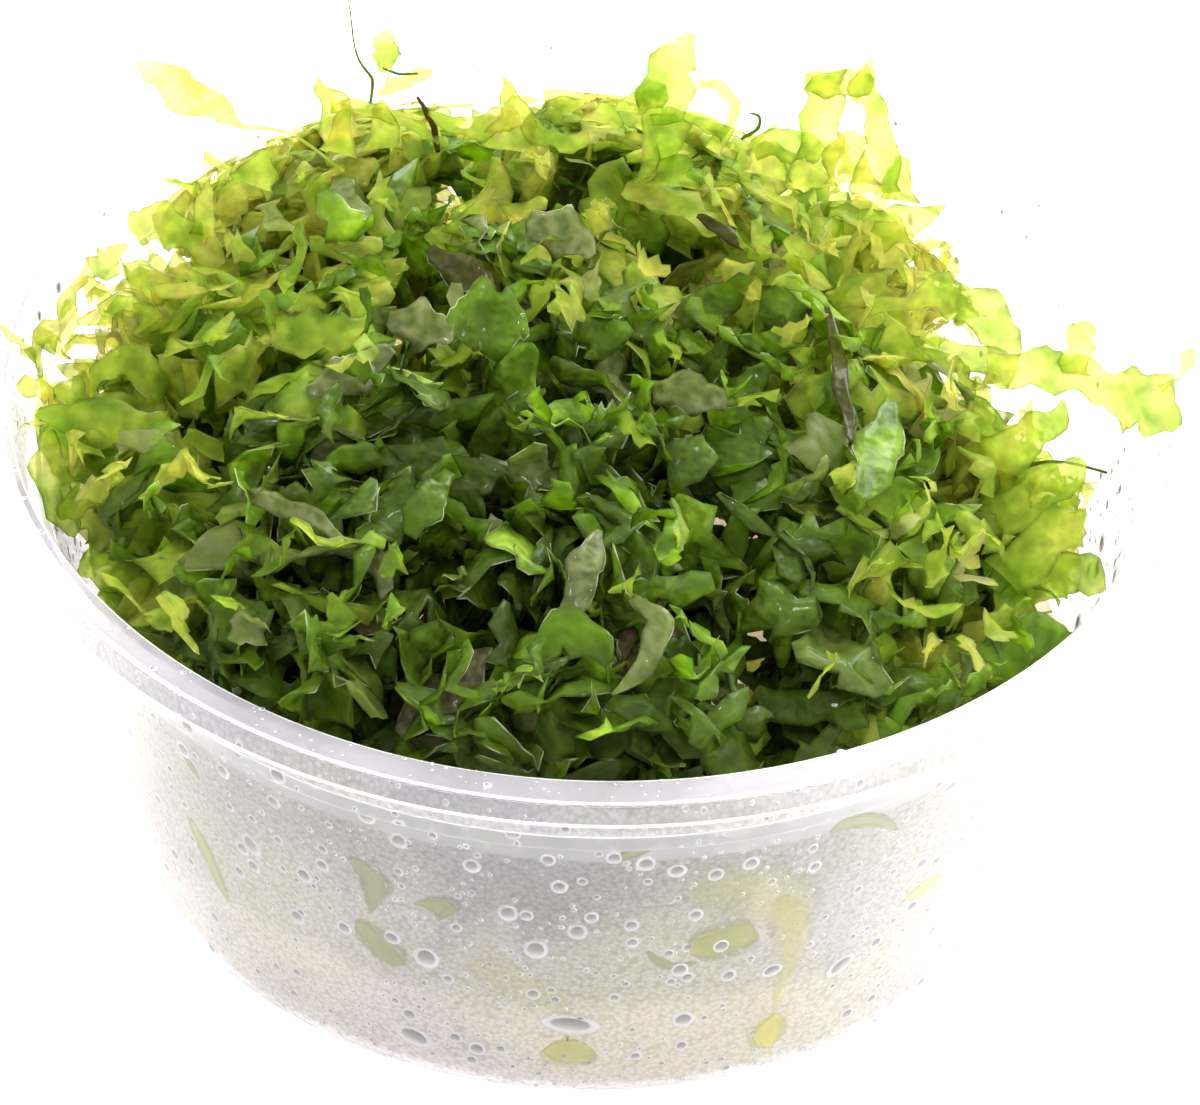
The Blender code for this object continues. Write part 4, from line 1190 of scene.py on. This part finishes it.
pressed = vector_calc(tangle, "ADD", pressed_level, upright)
kept_in = add_node(tangle, "GeometryNodeSetPosition", {"Geometry": crumpled, "Position": pressed})
long_ones = add_node(tangle, "GeometryNodeObjectInfo", {"Object": (given, "Long fronds")})
joined = add_node(tangle, "GeometryNodeJoinGeometry", {"Geometry": kept_in})
tangle.links.new(long_ones.outputs["Geometry"], joined.inputs["Geometry"])
coated = add_node(
    tangle, "GeometryNodeSetMaterial", {"Geometry": joined, "Material": (given, "Dense material")}
)
is_thin = add_node(
    tangle,
    "FunctionNodeCompare",
    {"A": tone_field, "B": (given, "Thin above tone")},
    operation="GREATER_THAN",
)
coated = add_node(
    tangle,
    "GeometryNodeSetMaterial",
    {"Geometry": coated, "Selection": is_thin, "Material": (given, "Thin material")},
)
add_node(tangle, "NodeGroupOutput", {"Fronds": coated})

# Long fronds of each tuft: tone, how faded, and the points that each passes, with its reach to the left
# and to the right of them.
LONG_FRONDS = {
    # The back edge, with the tallest leaf
    "tuft_back": (
        (0.97, 0, ((-7.6, 16, 53.6, 2.6, 2.6), (-7.4, 17, 56.4, 1.6, 1.4), (-7.9, 17, 58.6, 0.6, 0.7),
            (-8.3, 17, 60.1, 0.1, 0.1))),
        (0.97, 0, ((-14.4, 16, 57, 0.2, 0.2), (-12.6, 16, 56.2, 0.5, 0.8),
            (-10.6, 16.4, 55.8, 0.6, 1.3), (-8.8, 16.8, 56.2, 0.8, 1.4), (-7, 17, 56.6, 0.4, 0.8))),
        (0.92, 0, ((-6.4, 17, 56.2, 0.6, 1.2), (-4.8, 17, 54.8, 0.4, 1.2), (-3, 17, 54.2, 0.4, 1),
            (-1.2, 17, 54.6, 0.6, 0.9))),
        (1, 0, ((-0.1, 17, 56, 1.5, 1.6), (0.3, 17, 57.6, 0.9, 1), (0.4, 17, 58, 0.1, 0.1))),
        (0.86, 0, ((4.6, 14.6, 54.4, 1.2, 1.8), (4.4, 15.6, 58, 1.6, 2.4), (4.8, 16, 61, 2, 2.4),
            (5.6, 16, 63.4, 1.6, 1.7), (6.4, 16, 65, 0.9, 0.9), (6.6, 16.2, 65.8, 0.3, 0.3))),
        (0.95, 0, ((0.8, 16.4, 58, 0.1, 0.3), (2.2, 16.2, 59, 0.5, 1.2), (3.8, 16, 60, 0.8, 1.6),
            (5, 16, 60.4, 0.5, 0.8))),
        (0.76, 0, ((5.8, 13.6, 52.4, 2, 2), (6, 14.4, 54.2, 1.4, 1.6), (6, 14.6, 54.9, 0.2, 0.2))),
        (0.8, 0, ((3.8, 15.4, 57.6, 0.4, 0.5), (6.2, 15.6, 58, 0.4, 0.5), (8.6, 15.6, 57.4, 0.6, 0.7),
            (10, 15.4, 56.4, 0.6, 0.8))),
    ),
    # The lone leaf on its stalk, the threads with a small leaf on one of them, and the twig
    "tuft_back_left": (
        (0.86, 0, ((-21, 11, 54.5, 0.15, 0.15), (-24.6, 12, 56.8, 0.12, 0.12),
            (-27, 12, 57.7, 0.12, 0.12), (-29.4, 12.6, 57.4, 0.25, 0.25), (-31, 13.4, 58.4, 1.1, 0.8),
            (-34, 14.2, 59.6, 1.8, 1.4), (-36.6, 14.8, 61, 1.2, 0.9), (-38.2, 15, 61.5, 0.1, 0.1))),
        (1, 0, ((-32.6, 9.4, 48.6, 1, 1), (-32.2, 10, 51.4, 0.8, 0.8), (-32.1, 10.2, 53.7, 0.1, 0.1))),
        (0.86, 0, ((-28.2, 10, 53.4, 1.9, 1.9), (-27.4, 10.4, 55.6, 1.2, 1),
            (-26.8, 10.6, 56.2, 0.2, 0.2))),
        (0.96, 0, ((-21.6, 15, 54.6, 1.4, 1.9), (-22.4, 16, 57.4, 0.9, 1.4),
            (-23.2, 16, 59.2, 0.5, 0.4), (-23.4, 16, 60.1, 0.1, 0.1))),
        (0.95, 0, ((-22.4, 16, 57.2, 0.5, 0.5), (-20.2, 16, 57.3, 0.6, 0.5), (-18.3, 16, 57, 0.6, 0.8),
            (-16.7, 16, 56.2, 0.4, 0.5), (-15, 16, 55.4, 0.4, 0.4), (-13.4, 15.6, 54.4, 0.3, 0.3))),
        (0.9, 0, ((-18, 15, 54, 1.5, 1.3), (-18.2, 16, 56.9, 0.9, 0.9), (-18.4, 16.2, 58, 0.1, 0.1))),
        (0.84, 0.9, ((-21.8, 14.4, 53.8, 1.6, 1.5), (-21.2, 15.4, 56.8, 0.6, 0.6),
            (-21, 15.6, 57.4, 0.1, 0.1))),
        (0.01, 0, ((-13.5, 15.6, 53.4, 0.21, 0.21), (-14, 16, 55.6, 0.24, 0.28),
            (-14.6, 16, 57.2, 0.21, 0.21), (-15.3, 16, 58.6, 0.14, 0.14))),
        (0.3, 0, ((-19.2, 16.4, 57.4, 0.12, 0.12), (-19, 17, 59.2, 0.12, 0.12),
            (-19.6, 17, 60.4, 0.1, 0.1), (-20.2, 17, 61.5, 0.09, 0.09), (-20.6, 17, 63.6, 0.07, 0.07),
            (-20.9, 17.6, 66.2, 0.07, 0.07))),
        (0.3, 0.9, ((-18.2, 17, 60.6, 0.1, 0.1), (-16.8, 17, 60.1, 0.1, 0.1),
            (-15.3, 17, 60.2, 0.08, 0.08))),
        (0.82, 0, ((-18.2, 17, 60.2, 0.2, 0.2), (-18.1, 17, 61.2, 0.8, 0.9), (-17.9, 17, 62.4, 1, 1),
            (-17.9, 17, 63.6, 0.9, 0.7), (-17.8, 17, 64.5, 0.1, 0.1))),
        (0.5, 0.96, ((-21.9, 15.1, 50.9, 0.5, 0.5), (-21, 10.8, 52.1, 1.4, 1.4),
            (-20.1, 6.7, 53, 1.4, 1.4), (-19.2, 3, 53.6, 0.3, 0.3))),
    ),
    # The big frond here is torn, so its two sides run apart round a hole and meet again
    "tuft_back_right": (
        (0.97, 0, ((7.6, 16, 61, 0.3, 0.3), (9, 16, 61, 0.4, 0.5), (10.2, 16, 59.8, 0.5, 0.5),
            (10.6, 16, 58.2, 0.5, 0.5), (10, 15.8, 56.6, 0.5, 0.5), (9, 15, 55, 0.8, 0.8))),
        (1, 0, ((13.2, 12, 55, 1.9, 1.9), (13.6, 12.6, 57.2, 1.2, 1.2), (13.8, 12.8, 58, 0.2, 0.2))),
        (0.8, 0, ((12, 12.6, 57.6, 0.4, 1.2), (14, 12.8, 58.4, 0.6, 1.8), (16.4, 13, 58, 0.6, 2),
            (18, 13, 57, 0.4, 1))),
        (0.2, 0, ((11.2, 13.6, 57.4, 0.12, 0.12), (12.4, 13.6, 58.4, 0.15, 0.15),
            (12.6, 13.6, 59.6, 0.12, 0.12), (11.8, 13.6, 60, 0.08, 0.08))),
        (0.92, 0, ((17.4, 12, 54, 2.2, 2), (17.3, 12.8, 58, 1.6, 2), (17.4, 13, 61, 1.3, 1.8),
            (17.6, 13, 63.4, 1.5, 1.6), (17.4, 13, 64.6, 1.2, 1.6))),
        (0.92, 0, ((22.6, 11.6, 54, 2.4, 2.2), (22.4, 12.8, 58, 1.5, 1.3), (22, 13, 61, 0.9, 0.9),
            (21.2, 13, 63.4, 1.6, 0.5), (21.1, 13, 65.4, 0.9, 0.4), (21.2, 13, 66.2, 0.1, 0.1))),
        (0.92, 0, ((16, 13, 63.8, 0.6, 0.8), (18, 13, 63.8, 0.9, 1.2), (20, 13, 64, 0.9, 1.2),
            (21.4, 13, 64.6, 0.9, 1))),
        (0.92, 0, ((20, 12, 54.5, 2.2, 2.2), (19.9, 12.9, 57.6, 1.7, 1.7), (19.9, 13, 58.8, 1, 1),
            (19.9, 13, 59.1, 0.2, 0.2))),
        (0.86, 0, ((24, 12, 53, 1.4, 1.8), (24.2, 13, 55.6, 0.8, 1), (24, 13, 56.8, 0.2, 0.2))),
        (1, 0, ((22.6, 9, 52.4, 1.8, 2), (25, 9, 53.4, 1.1, 1.5), (27.9, 9, 54.9, 0.1, 0.1))),
        (0.015, 0, ((7.9, 10.3, 51.9, 0.2, 0.2), (9.1, 9.2, 52, 0.5, 0.5), (10.6, 7.8, 51.8, 0.5, 0.6),
            (11.8, 6.6, 51.4, 0.1, 0.1))),
    ),
    # Fronds that lie on top of the mound
    "tuft_centre": (
        (0.02, 0, ((-13.6, 3.5, 52.7, 0.4, 0.4), (-12.1, 1.3, 53.1, 1, 1.2),
            (-10.3, -1.1, 53.4, 1.5, 1.3), (-8.8, -3.1, 53.6, 0.9, 0.9), (-8, -4.2, 53.7, 0.2, 0.2))),
        (0.5, 0, ((-11.3, -11.1, 56.1, 0.8, 0.8), (-9.8, -10.2, 56.2, 2.6, 2.4),
            (-7.8, -10.1, 56.2, 3, 2.6), (-6.1, -9.6, 56.3, 2, 1.8), (-5.5, -9.3, 56.3, 0.4, 0.4))),
        (0.4, 0.98, ((-5.8, 5.3, 54.8, 0.5, 0.5), (-4.1, 3.9, 54.9, 1.8, 1.8),
            (-2.2, 2.3, 55.1, 1.8, 1.8), (-0.5, 0.1, 55.2, 0.4, 0.4))),
        (0.4, 0.97, ((-16.2, -8.8, 55.2, 0.5, 0.5), (-14.3, -9.7, 55.4, 1.8, 1.8),
            (-12.4, -10.8, 55.6, 1.5, 1.5), (-11.2, -12.1, 55.6, 0.3, 0.3))),
        (0.3, 0.96, ((4.6, -14, 53, 0.8, 0.8), (6.6, -15.4, 54.4, 1.5, 1.5), (8.8, -15.6, 54, 1.3, 1.3),
            (10.4, -15.2, 52.8, 0.3, 0.3))),
    ),
    # Faded fronds near the front rim
    "tuft_front": (
        (0.3, 0.96, ((-1.4, -38.2, 50, 0.6, 0.6), (-0.4, -35.4, 52, 1.3, 1.2),
            (0.4, -32.8, 52.6, 1.2, 1), (0.9, -30.2, 52.6, 0.2, 0.2))),
        (0.55, 0.96, ((3.4, -35.6, 50.8, 0.3, 0.3), (5.3, -37.6, 50.8, 0.9, 0.9),
            (5.2, -39.8, 50, 1, 1), (3.8, -42.2, 48.8, 0.6, 0.6), (2.2, -43.2, 48, 0.1, 0.1))),
        (0.45, 0, ((-3.6, -40.9, 49.4, 0.8, 0.8), (-1.8, -40, 51, 1.6, 1.5),
            (0.4, -40.2, 50.6, 1.5, 1.5), (2, -41, 49, 0.4, 0.4))),
    ),
    # Two at the rim, and the rest on the mound
    "tuft_front_left": (
        (0.75, 0, ((-33, -24, 38, 1.6, 1.6), (-36.4, -24, 41, 1.6, 1.6), (-38.4, -24, 41.4, 1.2, 1.2),
            (-39.4, -24, 40.8, 0.2, 0.2))),
        (0.7, 0, ((-34, -26, 35, 1.6, 1.6), (-36.2, -25, 37.6, 1.4, 1.4),
            (-37.4, -24.6, 38.6, 0.9, 0.9), (-38, -24.6, 39, 0.1, 0.1))),
        (0.5, 0.97, ((-26.7, -26.2, 51.6, 0.3, 0.3), (-24.7, -27.5, 52, 0.7, 0.7),
            (-22.5, -28.7, 52.3, 0.7, 0.7), (-20.2, -30.1, 52.5, 0.6, 0.6),
            (-18.1, -32.7, 52.4, 0.3, 0.3))),
        (0.4, 0.9, ((-13.4, -30.8, 51.8, 0.5, 0.5), (-12.4, -29.6, 53.2, 1.5, 1.2),
            (-11.4, -27.9, 53.6, 1.2, 1), (-10.6, -26.6, 53.2, 0.1, 0.1))),
    ),
    # Broad ones that lean on the rim
    "tuft_front_right": (
        (0.76, 0, ((33, -17, 38, 1.76, 1.76), (36.4, -16.6, 42, 1.92, 1.92),
            (38.4, -16.2, 43.2, 1.28, 1.28), (39, -16, 43, 0.24, 0.24))),
        (0.72, 0, ((34, -15, 34, 1.6, 1.6), (37.6, -15.6, 37.6, 1.92, 1.92),
            (40, -16, 37.2, 1.52, 1.52), (41.2, -16.2, 36.2, 0.24, 0.24))),
        (0.62, 0, ((31, -22, 32, 1.76, 1.76), (35, -21, 34.6, 2.08, 1.92), (38, -20, 33.6, 1.6, 1.28),
            (39.4, -19.6, 32.6, 0.24, 0.24))),
    ),
    # Fronds that stand over the rim and hang inside it, and two on the mound
    "tuft_left": (
        (0.97, 0, ((-31, 8, 46.5, 1, 1), (-33.6, 9.4, 48.6, 1.5, 1.4), (-36, 10, 49.2, 1.7, 1.6),
            (-37.8, 10, 48.9, 1.4, 1.3), (-38.6, 10, 48.6, 0.4, 0.4))),
        (0.85, 0, ((-33, 0, 44, 1.6, 1.6), (-36.4, 0, 46.6, 1.52, 1.52), (-38.6, 0, 47.8, 0.96, 0.96),
            (-39.3, 0, 48.2, 0.16, 0.16))),
        (0.9, 0, ((-33, 4, 45, 1.6, 1.6), (-36, 4, 47.4, 1.52, 1.52), (-37.8, 4.4, 48.6, 0.96, 0.96),
            (-38.4, 4.4, 49.2, 0.16, 0.16))),
        (0.75, 0, ((-34, -6, 45, 1.44, 1.44), (-37, -7.4, 48.6, 1.28, 1.28), (-39, -8, 48, 0.8, 0.8),
            (-39.8, -8, 46.2, 0.32, 0.32), (-39.9, -8, 45.4, 0.08, 0.08))),
        (0.75, 0, ((-34, -13, 46, 1.6, 1.6), (-37.6, -13.6, 47.8, 1.4, 1.5), (-41, -14, 48.2, 1.2, 1.2),
            (-43.6, -14.2, 48.6, 0.2, 0.2))),
        (0.8, 0, ((-41.4, -14, 48, 0.8, 0.5), (-42.2, -14, 45.6, 1.5, 1.1), (-42.6, -14, 43, 1.7, 1.5),
            (-42, -14.2, 40, 1.5, 1.5), (-41.2, -14.6, 37.4, 0.9, 0.9), (-40.8, -15, 36.6, 0.1, 0.1))),
        (0.85, 0, ((-36, -15.6, 42, 1.2, 1.2), (-38.6, -16, 42.2, 1.2, 1.2),
            (-40.8, -16, 40.6, 1.1, 1.1), (-41.8, -16, 39.4, 0.3, 0.3))),
        (0.3, 0.97, ((-21.9, -16.8, 53.9, 0.4, 0.4), (-20.1, -16, 54.3, 1.3, 1.3),
            (-17.9, -14.7, 54.8, 1.5, 1.5), (-15.7, -12.6, 55.2, 0.4, 0.4))),
        (0.9, 0, ((-25.6, -7.3, 53.1, 0.4, 0.4), (-23.5, -9.1, 53.6, 1.9, 1.9),
            (-21.1, -10.1, 54.1, 2, 2), (-19, -9.7, 54.5, 1.2, 1.2), (-17.8, -8.4, 54.7, 0.3, 0.3))),
    ),
    # The arm, and the strand that trails over the rim
    "tuft_right": (
        (0.86, 0, ((22, 3.6, 48.6, 0.8, 1), (24.8, 3, 49.4, 0.5, 0.5), (27.4, 3, 50.4, 1.5, 1.4),
            (30, 3, 49.4, 1.7, 1.6), (32.4, 3, 47.4, 1.9, 1.6), (33.4, 2.4, 44.6, 1.2, 1.4),
            (33.6, 2, 43.2, 0.8, 0.8))),
        (0.76, 0, ((21, 0, 47.4, 1.2, 1.2), (24.6, 0, 47.4, 1.1, 1.1), (28, 0, 46.8, 1.1, 1.1),
            (31.4, 0, 46.2, 1.2, 1.2), (34, -1, 45.6, 1, 1))),
        (0.84, 0, ((31.6, -2, 47, 1.2, 1.2), (34.4, -3.4, 48.2, 1.5, 1.5), (37, -4, 48.7, 1.7, 1.7),
            (39.4, -4, 48, 1.4, 1.4), (41.6, -4, 46.8, 1.5, 1.8), (43.6, -4, 46.2, 2.6, 2.6),
            (45.4, -4.4, 45.2, 2.2, 2.2), (46.9, -4.8, 43.8, 0.5, 0.5))),
        (0.88, 0, ((38.2, -4, 48.4, 1.2, 1.2), (38.3, -4, 50.6, 1.2, 1.2), (38.5, -4, 52.6, 1.1, 1.1),
            (38.8, -4, 53.8, 0.5, 0.5))),
        (0.9, 0, ((45.2, -4, 47.2, 0.3, 0.3), (46.2, -4, 48, 0.12, 0.12), (46.8, -4, 48.6, 0.12, 0.12),
            (47.1, -4, 49.8, 0.5, 0.5), (47.2, -4, 50.8, 0.7, 0.7), (47.4, -4, 51.5, 0.1, 0.1))),
        (0.82, 0, ((31, -6, 40, 1.6, 1.6), (34.6, -7, 44, 1.76, 1.76), (36.6, -8, 47, 0.96, 1.12),
            (37.2, -8, 48.9, 0.16, 0.16))),
        (0.76, 0, ((32, -9, 37, 1.6, 1.6), (36, -10, 41, 1.76, 1.76), (38.4, -10, 43.6, 1.28, 1.28),
            (39, -10, 44.6, 0.24, 0.24))),
        (0.2, 0, ((34, -6, 40, 0.2, 0.2), (37.2, -8, 42.6, 0.12, 0.12), (41.2, -9.4, 42.8, 0.1, 0.1))),
        (0.02, 0, ((18.3, 0.3, 51.1, 0.2, 0.2), (19, -4.9, 51.2, 0.6, 0.5),
            (19.4, -9.8, 51.2, 0.6, 0.7), (19.9, -13.8, 50.9, 0.5, 0.5),
            (20.2, -16.5, 50.6, 0.2, 0.2))),
        (0.6, 0, ((20.6, -23.9, 51.3, 0.6, 0.6), (21.9, -19.2, 51.4, 1.9, 1.9),
            (22.8, -15.5, 51.3, 1.5, 1.5), (23.3, -11.7, 51.3, 0.4, 0.4))),
    ),
}
LONG_STEPS = 5
LONG_COLUMNS = 4
TOWARDS_VIEWER = Vector((0.1, -0.75, 0.65))
HEART_HEIGHT = 28
LOBE = 0.2
WAVE = 0.2


def add_long_frond(bm, stations, tone, faded, draw):
    """A long ribbon through its stations, a little cupped, with its face to the viewer."""
    layers = {}
    for name in ("tone", "faded", "across"):
        layers[name] = bm.verts.layers.float.get(name) or bm.verts.layers.float.new(name)
    line = smooth_line(stations, LONG_STEPS)
    shift = draw.uniform(0.0, math.tau)
    rows = []
    for index, (x, y, z, left, right) in enumerate(line):
        here = Vector((x, y, z))
        before, after = line[max(index - 1, 0)], line[min(index + 1, len(line) - 1)]
        ahead = (Vector(after[:3]) - Vector(before[:3])).normalized()
        side = ahead.cross(TOWARDS_VIEWER).normalized()
        lift = side.cross(ahead)
        row = []
        for column in range(LONG_COLUMNS + 1):
            across = 2 * column / LONG_COLUMNS - 1
            lobe = LOBE * math.sin(0.9 * index + shift + 2 * across) + draw.uniform(-0.1, 0.1)
            half = (left if across < 0 else right) * (1 + lobe)
            wave = WAVE * math.sin(index * 0.55 + shift + 2.0 * across) * abs(across) + 0.1 * across * across
            vert = bm.verts.new((here + side * across * half + lift * wave * (left + right) / 2) * MM)
            vert[layers["tone"]] = tone
            vert[layers["faded"]] = faded
            vert[layers["across"]] = abs(across)
            row.append(vert)
        rows.append(row)
    skin(bm, rows)


TUFT_NAMES = [name for name in sorted(frame["nodes"]) if name.startswith("tuft_")]
for number, tuft_name in enumerate(TUFT_NAMES):
    bm = bmesh.new()
    for tone_value, faded_value, stations in LONG_FRONDS[tuft_name]:
        add_long_frond(bm, stations, tone_value, faded_value, draw)
    long_object = new_piece("long_" + tuft_name, mesh_of(bm, "long_" + tuft_name))
    work = new_piece("work_" + tuft_name, frame["nodes"][tuft_name].data.copy())
    low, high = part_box(tuft_name)
    values = {
        "Shapes": shapes,
        "Long fronds": long_object,
        "Heart": ((low.x + high.x) / 2, (low.y + high.y) / 2, HEART_HEIGHT * MM),
        "Seed": number,
        "Dense material": thalli[0],
        "Thin material": thalli[1],
    }
    put_rule(work, tangle, values)
    add_film(work)
    tuft_mesh = grown_mesh(work)
    tuft_mesh.name = "fronds_" + tuft_name
    tuft = new_piece("fronds_" + tuft_name, tuft_mesh)
    bpy.data.objects.remove(long_object)
    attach(tuft, "root")
    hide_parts(tuft_name)
for shape in list(shapes.objects):
    bpy.data.objects.remove(shape)
bpy.data.collections.remove(shapes)
